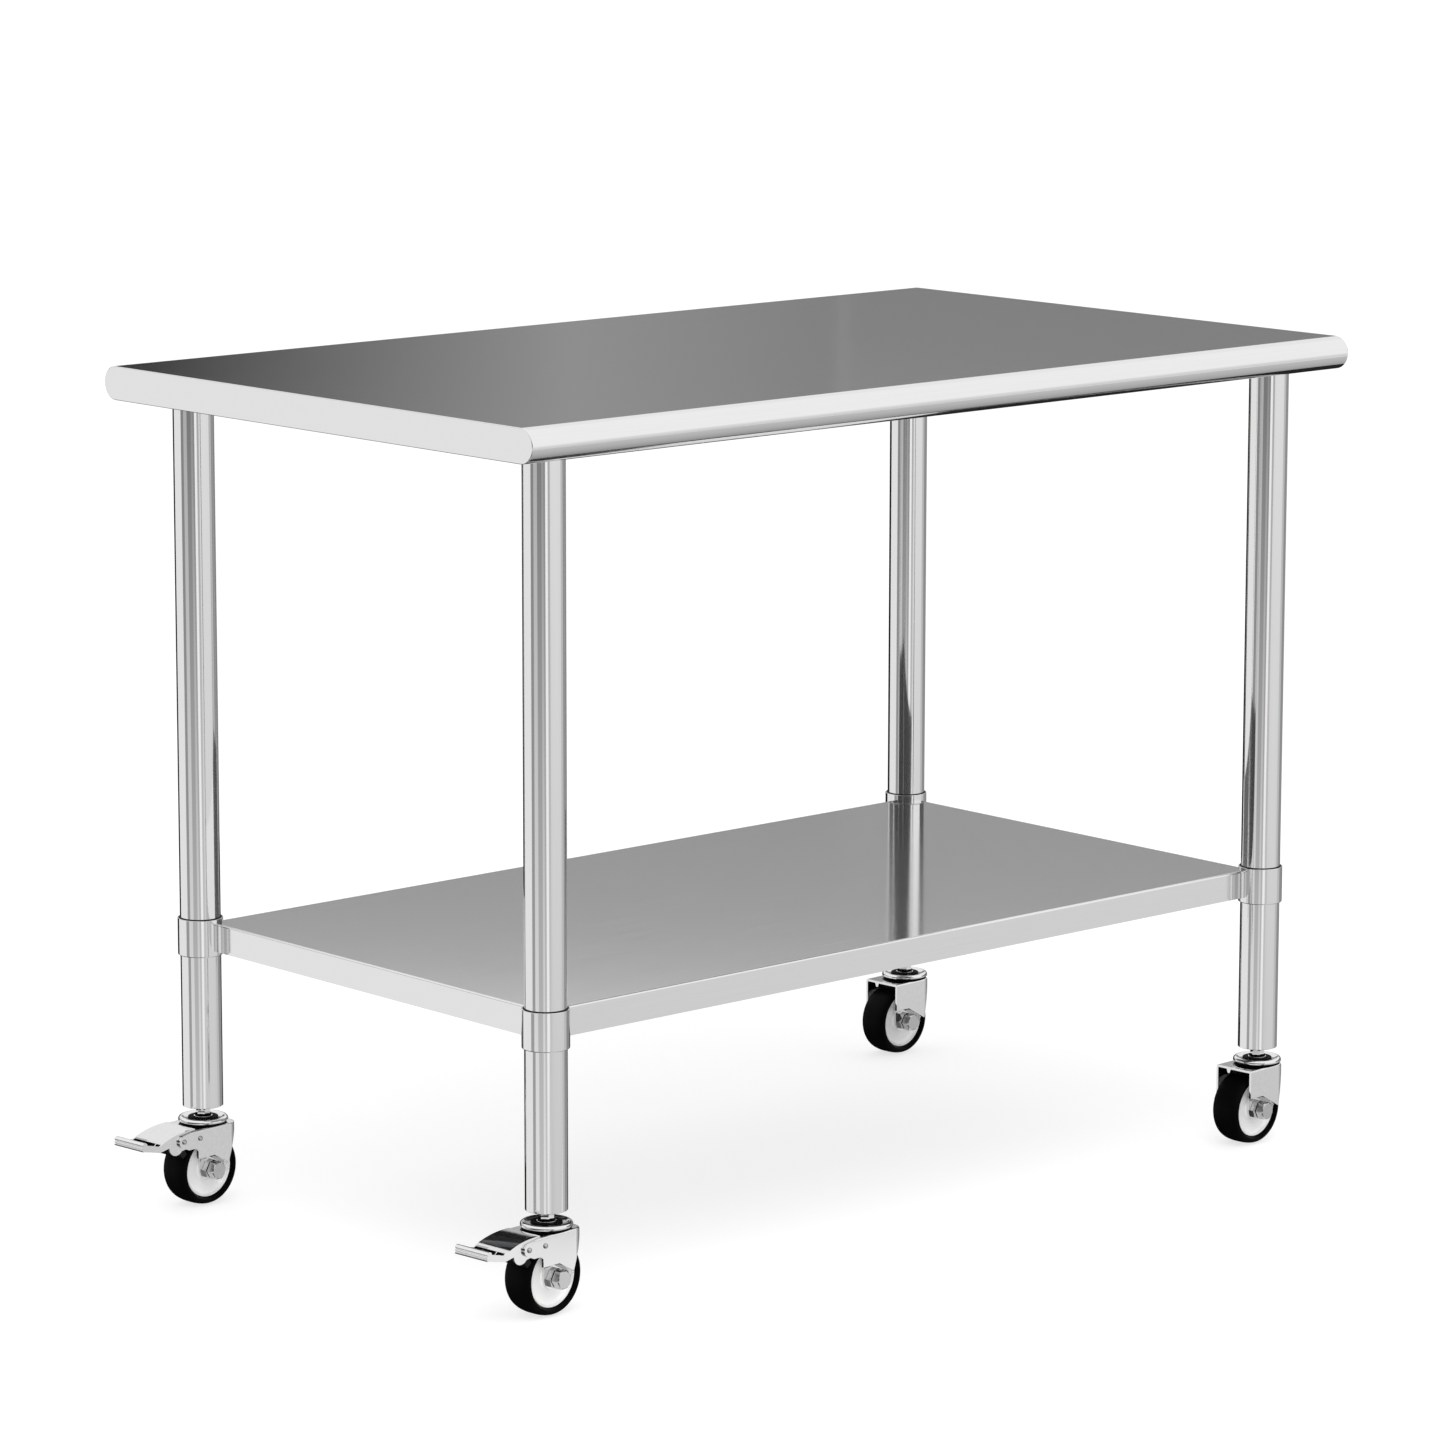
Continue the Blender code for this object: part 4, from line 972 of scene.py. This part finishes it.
def wheel_centre():
    """Moulded wheel centre: long boss, dished web and a rim that the tyre grips."""
    bore = BUSH_R + RUN_GAP
    end = ARM_INNER - SEAT_GAP * 2
    web = HUB_WEB / 2
    rim = RIM_R - SEAT_GAP
    edge = RIM_WIDTH / 2
    side = [(bore, end - HUB_BORE_EDGE), (bore + HUB_BORE_EDGE, end)]
    side += arc(HUB_BOSS_R - HUB_ROUND, end - HUB_ROUND, HUB_ROUND, 90, 0, 5)
    side += arc(HUB_BOSS_R + BOSS_FOOT, web + BOSS_FILLET, BOSS_FILLET, 190, 270, 5)
    side += arc(rim * WEB_DISH_SHARE, web + WEB_DISH_R, WEB_DISH_R, 270, 318, 6)
    side += arc(rim - HUB_ROUND, edge - HUB_ROUND, HUB_ROUND, 120, 0, 6)
    other = [(r, -h) for r, h in reversed(side)]
    return smooth(turned("wheel_centre", side + other + side[:1], WHEEL_STEPS, "Y"))


def tyre():
    """Rubber tread with a full round crown, moulded over the rim."""
    half = TYRE_WIDTH / 2
    shoulder = RIM_R + (TYRE_R - RIM_R) * TYRE_SHOULDER_SHARE
    crown = TYRE_R - shoulder
    power = 2 / TYRE_FULLNESS
    steps = 36
    profile = [(RIM_R, -RIM_WIDTH / 2), (RIM_R, RIM_WIDTH / 2)]
    for index in range(steps + 1):
        turn = math.pi * index / steps
        across = math.copysign(abs(math.cos(turn)) ** power, math.cos(turn))
        profile.append((shoulder + crown * math.sin(turn) ** power, half * across))
    return smooth(turned("tyre", profile + profile[:1], WHEEL_STEPS, "Y"), TYRE_SHARP_DEG)


def rivet():
    """Rivet through both fork arms, with a domed head on each side."""
    seat = FORK_HALF + SEAT_GAP
    steps = 8
    turns = [math.pi / 2 * i / steps for i in range(steps + 1)]
    dome = [(RIVET_HEAD_R * math.cos(t), seat + RIVET_HEAD * math.sin(t)) for t in turns]
    half = list(reversed(dome)) + [(RIVET_R, seat)]
    half[0] = (0, half[0][1])
    profile = half + [(r, -h) for r, h in reversed(half)]
    return smooth(turned("rivet", profile, PIN_STEPS, "Y"))


# Caster: brake pedal and shoe

def crest_line():
    """Arched top of the pedal, from the fork to the knee before the lip."""
    back = -BRAKED_FRONT - SEAT_GAP
    drop = PEDAL_CREST - PEDAL_KNEE_HEIGHT
    span = PEDAL_KNEE_REACH + back
    shares = [index / PEDAL_ARCH_STEPS for index in range(PEDAL_ARCH_STEPS + 1)]
    return [(back - span * share, PEDAL_CREST - drop * share ** PEDAL_ARCH_POWER) for share in shares]


def pedal_outline():
    """Side view of the pedal: arched plate, knee before the lip, and a lobe over the tyre."""
    lip_x = -PEDAL_REACH + PEDAL_LIP_THICK / 2
    lip_top = PEDAL_LIP_BOTTOM + PEDAL_LIP_HEIGHT
    front = [(lip_x, lip_top - PEDAL_LIP_HEIGHT / 4), (lip_x, PEDAL_LIP_BOTTOM)]
    lobe_x = -PIVOT_REACH - PEDAL_LOBE_LEAD
    belly = [(-PEDAL_KNEE_REACH, PEDAL_LIP_BOTTOM - PEDAL_BELLY)]
    belly += [(lobe_x - PEDAL_LOBE_R, PEDAL_LIP_BOTTOM - PEDAL_BELLY / 2)]
    lobe = arc(lobe_x, PIVOT_HEIGHT - PEDAL_LOBE_DROP, PEDAL_LOBE_R, 200, 320, 16)
    heel = [(-BRAKED_FRONT - SEAT_GAP, PIVOT_HEIGHT - PIVOT_EYE)]
    return crest_line() + front + belly + lobe + heel


def lip_bar():
    """Rolled bar across the end of the pedal, round on top, with two grooves along its front."""
    thick = PEDAL_LIP_THICK / 2
    middle = -PEDAL_REACH + thick
    crown = PEDAL_LIP_BOTTOM + PEDAL_LIP_HEIGHT - thick
    foot = thick * PEDAL_LIP_FOOT_SHARE
    outline = arc(middle, crown, thick, 0, 180, 20)
    outline += arc(middle - thick + foot, PEDAL_LIP_BOTTOM + foot, foot, 180, 270, 5)
    outline += arc(middle + thick - foot, PEDAL_LIP_BOTTOM + foot, foot, 270, 360, 5)
    half = PEDAL_LIP_WIDTH / 2
    rail = plate("lip", outline, -half, half, "Y")
    grooves = []
    for share in PEDAL_GROOVE_SHARES:
        place = (-PEDAL_REACH, 0, PEDAL_LIP_BOTTOM + PEDAL_LIP_HEIGHT * share)
        grooves.append(bar("groove", PEDAL_GROOVE_R, -half * 2, half * 2, 16, "Y", place))
    return combine(rail, grooves)


def pedal():
    """One pressing: arched plate with folded flanges, a window behind the lip and a rolled lip bar."""
    body = plate("pedal", pedal_outline(), -PEDAL_HALF, PEDAL_HALF, "Y")
    inner = PEDAL_HALF - PEDAL_SHEET
    under = [(x, z - PEDAL_SHEET) for x, z in crest_line()]
    under += [(-PEDAL_REACH, 0.0), (0.0, 0.0), (0.0, under[0][1])]
    hollow = plate("hollow", under, -inner, inner, "Y")
    window_end = (-PEDAL_ARCH_REACH, inner, PEDAL_CREST * 2)
    window = block("window", (-PEDAL_REACH * 2, -inner, 0.0), window_end)
    eye = (-PIVOT_REACH, 0, PIVOT_HEIGHT)
    pin = bar("pin", RIVET_R + RUN_GAP, -FORK_HALF, FORK_HALF, PIN_STEPS, "Y", eye)
    combine(body, [hollow, window, pin])
    flared(body)
    combine(body, [lip_bar()], "UNION")
    return smooth(body, PEDAL_SHARP_DEG)


def flared(piece):
    """Spread the pedal's flanges towards the lip."""
    bends = 6
    run = PEDAL_KNEE_REACH - PEDAL_FLARE_START
    edit(piece)
    for index in range(bends + 1):
        reach = PEDAL_FLARE_START + run * index / bends
        bpy.ops.mesh.select_all(action="SELECT")
        bpy.ops.mesh.bisect(plane_co=(-reach, 0, 0), plane_no=(1, 0, 0))
    bpy.ops.object.mode_set(mode="OBJECT")
    flare = PEDAL_LIP_WIDTH / 2 / PEDAL_HALF - 1
    for vert in piece.data.vertices:
        share = (-vert.co.x - PEDAL_FLARE_START) / run
        vert.co.y *= 1 + flare * eased(share) * PEDAL_FLARE_SHARE
    return piece


def brake_block():
    """Pad that meets the tyre when the pedal is down, drawn there and swung back to rest."""
    near = TYRE_R / math.cos(math.pi / CAD_TYRE_STEPS) + SEAT_GAP
    face = arc(-BRAKED_TRAIL, AXLE_Z, near, SHOE_FROM_DEG, SHOE_TO_DEG, 12)
    back = arc(-BRAKED_TRAIL, AXLE_Z, near + SHOE_THICK, SHOE_TO_DEG, SHOE_FROM_DEG, 12)
    half = PEDAL_HALF - PEDAL_SHEET - SEAT_GAP
    pad = plate("brake_block", face + back, -half, half, "Y")
    pivot = Matrix.Translation((-PIVOT_REACH, 0, PIVOT_HEIGHT))
    pad.data.transform(pivot @ Matrix.Rotation(BRAKE_SWING, 4, "Y") @ pivot.inverted())
    return smooth(pad, SHOE_SHARP_DEG, SHOE_ROUND)


# Assembly

def dress_frame():
    """Worktop, channels, sockets, legs and plugs."""
    finished(worktop(), "brushed_stainless", "frame", "table_top")
    channel = top_channel()
    for side in ("left", "middle", "right"):
        low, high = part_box("top_channel_" + side)
        shift = ((low.x + high.x) / 2, 0, 0)
        piece = placed(channel, "hat_channel_" + side, shift)
        finished(piece, "galvanised_steel", "frame", "top_channel_" + side)
    socket = leg_socket()
    leg = tube("leg", LEG_R - LEG_WALL, LEG_R, LEG_LOW.z, LEG_HIGH.z, LEG_EDGE)
    plug = leg_plug()
    for corner in CORNERS:
        axis = leg_axis(corner)
        fit(socket, corner, "socket_", axis, 0.0, "galvanised_steel", "frame", "leg_socket_")
        fit(leg, corner, "leg_tube_", axis, 0.0, "polished_stainless", "frame", "leg_")
        fit(plug, corner, "leg_plug_", axis, 0.0, "black_plastic", "frame", "leg_insert_")
    discard([channel, socket, leg, plug])


def dress_shelf():
    """Shelf, its stiffener, and the sleeves with their black rings and set screws; the rings paint a thin
    line of shade above each sleeve.
    """
    finished(shelf_pan(), "brushed_stainless", "shelf", "undershelf")
    finished(shelf_channel(), "galvanised_steel", "shelf", "shelf_channel")
    sleeve = shelf_sleeve()
    gap_shade_liner = sleeve_gap_shade_liner()
    screw = set_screw()
    screw_rise = Vector((0, 0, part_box("shelf_sleeve_fl")[1].z - SET_SCREW_DROP))
    low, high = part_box("undershelf")
    middle = (low + high) / 2
    for corner in CORNERS:
        axis = leg_axis(corner)
        inward = middle - axis
        turn = math.atan2(math.copysign(1, inward.y), math.copysign(1, inward.x)) - math.pi / 2
        fit(sleeve, corner, "sleeve_", axis, 0.0, "polished_stainless", "shelf", "shelf_sleeve_")
        # Black ring whose top paints a thin line of shade above the sleeve
        fit(gap_shade_liner, corner, "sleeve_gap_shade_liner_", axis, 0.0, "black_plastic", "shelf")
        fit(screw, corner, "set_screw_", axis + screw_rise, turn, "zinc_plate", "shelf")
    discard([sleeve, gap_shade_liner, screw])


def dress_casters():
    """Swivel heads, forks, wheels and axles at every leg, and the brakes at the left ones."""
    head = swivel_head()
    balls = bearing()
    seal = dust_seal()
    dish_seals_and_reflection = stem_seal()
    bolt = axle()
    gap_shade_washer = nut_washer()
    sleeve = bush()
    centre = wheel_centre()
    tread = tyre()
    braked_fork = fork("braked_fork", BRAKED_TRAIL, BRAKED_FRONT, BRAKED_REAR, BRAKED_HEEL, True)
    plain_fork = fork("plain_fork", PLAIN_TRAIL, PLAIN_FRONT, PLAIN_REAR, PLAIN_HEEL, False)
    pin = rivet()
    lever = pedal()
    pad = brake_block()
    for corner in CORNERS:
        braked = corner in LEFT_CORNERS
        pressing = braked_fork if braked else plain_fork
        turn = BRAKED_TURN if braked else PLAIN_TURN
        trail = BRAKED_TRAIL if braked else PLAIN_TRAIL
        turned_round = Matrix.Rotation(turn, 4, "Z")
        axis = leg_axis(corner)
        hub = axis + turned_round @ Vector((-trail, 0, AXLE_Z))
        caster = "caster_" + corner
        wheel = "wheel_" + corner
        fit(head, corner, "swivel_head_", axis, turn, "chrome_plate", "frame", "swivel_stem_")
        fit(balls, corner, "bearing_", axis, turn, "chrome_plate", caster, "ball_ring_")
        fit(seal, corner, "dust_seal_", axis, 0.0, "black_rubber", caster)
        # Black rings in the dish: seals that also paint the dish's dark reflection
        fit(dish_seals_and_reflection, corner, "dish_seal_and_reflection_", axis, 0.0, "black_rubber", "frame")
        fit(pressing, corner, "caster_fork_", axis, turn, "zinc_plate", caster, "fork_")
        fit(bolt, corner, "axle_", hub, turn, "zinc_bolts", caster, "axle_bolt_")
        # Black ring that paints the shade between the nut and the lock nut
        fit(gap_shade_washer, corner, "nut_gap_shade_washer_", hub, turn, "black_rubber", caster)
        fit(sleeve, corner, "bush_", hub, turn, "zinc_plate", caster, "axle_bush_")
        fit(centre, corner, "wheel_centre_", hub, turn, "white_nylon", wheel, "wheel_hub_")
        fit(tread, corner, "wheel_tyre_", hub, turn, "black_rubber", wheel, "tyre_")
        if not braked:
            continue
        foot_pedal = "pedal_" + corner
        fit(lever, corner, "foot_pedal_", axis, turn, "zinc_plate", foot_pedal, "brake_pedal_")
        fit(pad, corner, "brake_block_", axis, turn, "black_plastic", foot_pedal, "brake_shoe_")
        for use, reach in (("pedal", PIVOT_REACH), ("spacer", SPACER_REACH)):
            place = axis + turned_round @ Vector((-reach, 0, PIVOT_HEIGHT))
            fit(pin, corner, use + "_pin_", place, turn, "zinc_bolts", caster, use + "_rivet_")
    discard([head, balls, seal, dish_seals_and_reflection, bolt, gap_shade_washer, sleeve, centre, tread])
    discard([braked_fork, plain_fork, pin, lever, pad])


# Studio

# Camera, fitted to the straight edges in the photograph
CAMERA_PLACE = (-4.2672209, -4.725489, 1.6896108)
CAMERA_RIGHT = Vector((0.74511774, -0.66693238, 0.00086411))
CAMERA_UP = Vector((0.11272246, 0.12721385, 0.98544928))
CAMERA_LENS_MM = 144.12
CAMERA_SHIFT = (0.01505, -0.04407)
CAMERA_SENSOR_MM = 36.0
CAMERA_REACH = 200.0

# Surroundings and lamps: place, size and watts of each soft box
WHITE = linear("#FFFFFF")
WORLD_LIGHT = 0.80
FLOOR_SIZE = 80.0
FLOOR_GLOW = 0.70
CARD_DISTANCE = 30.0
EYE_LEVEL = 0.6
LAMP_AIM = Vector((0, 0, 0.4))
SOFT_BOXES = (
    ("soft_box_above", (-1.0, -1.5, 3.6), 3.0, 60.0),
    ("soft_box_low", (-3.2, -3.6, 0.5), 1.6, 100.0),
)

# Grey cards that the metal mirrors: name, azimuth from and to, elevation from and to in degrees,
# grey at the lower and the upper edge, where 1 is white, and the share of it left at the last azimuth
CARDS = (
    ("back_dark", 55, 58.5, -18, 9.3, 0.015, 0.015, 1.0),
    ("back_corner", 58.5, 97, -18, -1, 0.015, 0.015, 1.0),
    ("back_turn", 58.5, 66, -1, 9.3, 0.02, 0.02, 9.0),
    ("back_side", 66, 97, -1, 9.3, 0.18, 0.18, 1.2),
    ("back_fade", 49.8, 55, -12, 9.3, 0.285, 0.285, 0.06),
    ("back_bump", 46.5, 49.8, -12, 9.3, 0.22, 0.22, 1.3),
    ("back_grey", 18, 46.5, -12, 9.3, 0.22, 0.22, 1.0),
    ("back_foot", 18, 55, -18, -12, 0.015, 0.015, 1.0),
    ("back_high", 0, 97, 9.3, 13.2, 0.315, 0.33, 1.0),
    ("back_white", 0, 97, 13.2, 46, 0.90, 0.95, 1.0),
    ("back_low", 0, 97, -80, -18, 0.01, 0.02, 1.0),
    ("right_dark", -16, 18, -18, 0, 0.32, 0.32, 1.0),
    ("right_soft", -34, -16, -18, 0, 0.58, 0.58, 1.0),
    ("right_light", -100, -34, -18, -3, 0.66, 0.92, 1.0),
    ("right_high", -36, 18, 0, 16, 0.10, 0.10, 1.0),
    ("right_low", -100, 0, -62, -18, 0.25, 0.60, 1.0),
    ("left_open", 97, 157, -20, 3, 0.90, 0.90, 1.0),
    ("left_high", 97, 140, 3, 14, 0.14, 0.14, 1.0),
    ("left_low", 97, 157, -80, -20, 0.06, 0.10, 1.0),
    ("front_slot", 249, 260, -18, -3, 0.76, 0.37, 1.0),
    ("front_a", 227, 236, -18, -3, 0.77, 0.12, 1.0),
    ("front_b", 217, 227, -18, -3, 1.05, 0.10, 1.0),
    ("front_c", 194, 217, -18, -3, 0.73, 0.07, 1.0),
    ("front_d", 174, 194, -18, -3, 0.99, 0.35, 1.0),
    ("front_e", 157, 174, -18, -3, 0.45, 0.21, 1.0),
    ("front_high", 140, 262, -3, 20, 0.05, 0.08, 1.0),
    ("front_foot", 157, 262, -25, -18, 0.85, 0.85, 1.0),
    ("front_low", 157, 262, -80, -25, 0.03, 0.08, 1.0),
)


def light_path_share(tree):
    """One for rays from the camera, from gloss and through glass, else zero."""
    path = add(tree, "ShaderNodeLightPath")
    rays = [path.outputs[name] for name in ("Is Camera Ray", "Is Glossy Ray", "Is Transmission Ray")]
    first = add(tree, "ShaderNodeMath", {"operation": "MAXIMUM"}, {0: rays[0], 1: rays[1]})
    return add(tree, "ShaderNodeMath", {"operation": "MAXIMUM"}, {0: first.outputs[0], 1: rays[2]})


def studio_world():
    """White surroundings to look at and to mirror, with a plain soft light from them."""
    world = bpy.data.worlds.new("studio")
    world.use_nodes = True
    tree = world.node_tree
    seen = light_path_share(tree)
    span = {"To Min": WORLD_LIGHT, "To Max": 1.0}
    level = add(tree, "ShaderNodeMapRange", span, {"Value": seen.outputs[0]})
    tree.links.new(level.outputs["Result"], tree.nodes["Background"].inputs["Strength"])
    tree.nodes["Background"].inputs["Color"].default_value = WHITE
    bpy.context.scene.world = world


def studio_floor():
    """Pale floor that takes the table's soft shadow and is white away from it."""
    fresh_start()
    bpy.ops.mesh.primitive_plane_add(size=FLOOR_SIZE)
    floor = bpy.context.object
    floor.name = "floor"
    floor.visible_glossy = False
    material, tree, shader = new_material("pale_floor", Roughness=0.9)
    shader.inputs["Base Color"].default_value = linear("#A8A8A8")
    seen = light_path_share(tree)
    shader.inputs["Emission Color"].default_value = WHITE
    glow = add(tree, "ShaderNodeMath", {"operation": "MULTIPLY", 1: FLOOR_GLOW}, {0: seen.outputs[0]})
    tree.links.new(glow.outputs[0], shader.inputs["Emission Strength"])
    floor.data.materials.append(material)


def grey_card(name, az_from, az_to, el_from, el_to, grey_low, grey_high, last_share):
    """One upright card, out of the camera's sight, that only the metal mirrors."""
    low = CARD_DISTANCE * math.tan(math.radians(el_from))
    high = CARD_DISTANCE * math.tan(math.radians(el_to))
    half = CARD_DISTANCE * math.tan(math.radians(az_to - az_from) / 2)
    turn = Matrix.Rotation(math.radians((az_from + az_to) / 2), 4, "Z")
    fresh_start()
    bpy.ops.mesh.primitive_plane_add(size=1.0)
    card = bpy.context.object
    card.name = "card_" + name
    stand = Matrix((
        (0, 0, 1, CARD_DISTANCE),
        (half * 2, 0, 0, 0),
        (0, high - low, 0, (low + high) / 2),
        (0, 0, 0, 1),
    ))
    card.data.transform(Matrix.Translation((0, 0, EYE_LEVEL)) @ turn @ stand)
    material = bpy.data.materials.new("card_" + name)
    material.use_nodes = True
    tree = material.node_tree
    tree.nodes.clear()
    place = add(tree, "ShaderNodeTexCoord")
    axes = add(tree, "ShaderNodeSeparateXYZ", None, {"Vector": place.outputs["UV"]})
    greys = {"To Min": grey_low, "To Max": grey_high}
    rise = add(tree, "ShaderNodeMapRange", greys, {"Value": axes.outputs["Y"]})
    shares = {"To Min": 1.0, "To Max": last_share}
    fade = add(tree, "ShaderNodeMapRange", shares, {"Value": axes.outputs["X"]})
    both = {0: rise.outputs["Result"], 1: fade.outputs["Result"]}
    grey = add(tree, "ShaderNodeMath", {"operation": "MULTIPLY"}, both)
    glow = add(tree, "ShaderNodeEmission", None, {"Strength": grey.outputs[0]})
    add(tree, "ShaderNodeOutputMaterial", None, {"Surface": glow.outputs["Emission"]})
    material.cycles.emission_sampling = "NONE"
    card.data.materials.append(material)
    card.visible_camera = False
    card.visible_diffuse = False
    card.visible_shadow = False


def soft_lamp(name, place, size, watts):
    """A large soft box that points at the middle of the table."""
    lamp = bpy.data.lights.new(name, "AREA")
    lamp.shape = "SQUARE"
    lamp.size = size
    lamp.energy = watts
    holder = bpy.data.objects.new(name, lamp)
    bpy.context.scene.collection.objects.link(holder)
    holder.location = place
    aim = LAMP_AIM - Vector(place)
    holder.rotation_euler = aim.to_track_quat("-Z", "Y").to_euler()
    holder.visible_glossy = False


def camera():
    """Long lens from the front left, at the photograph's height and framing."""
    data = bpy.data.cameras.new("camera")
    data.lens = CAMERA_LENS_MM
    data.sensor_width = CAMERA_SENSOR_MM
    data.shift_x, data.shift_y = CAMERA_SHIFT
    data.clip_end = CAMERA_REACH
    holder = bpy.data.objects.new("camera", data)
    bpy.context.scene.collection.objects.link(holder)
    back = CAMERA_RIGHT.cross(CAMERA_UP)
    turn = Matrix((CAMERA_RIGHT, CAMERA_UP, back)).transposed().to_4x4()
    holder.matrix_world = Matrix.Translation(CAMERA_PLACE) @ turn
    bpy.context.scene.camera = holder


def studio():
    """Surroundings, floor, cards, lamps and camera."""
    studio_world()
    studio_floor()
    for card in CARDS:
        grey_card(*card)
    for soft_box in SOFT_BOXES:
        soft_lamp(*soft_box)
    camera()
    bpy.context.scene.view_settings.view_transform = "Standard"


dress_frame()
dress_shelf()
dress_casters()
studio()
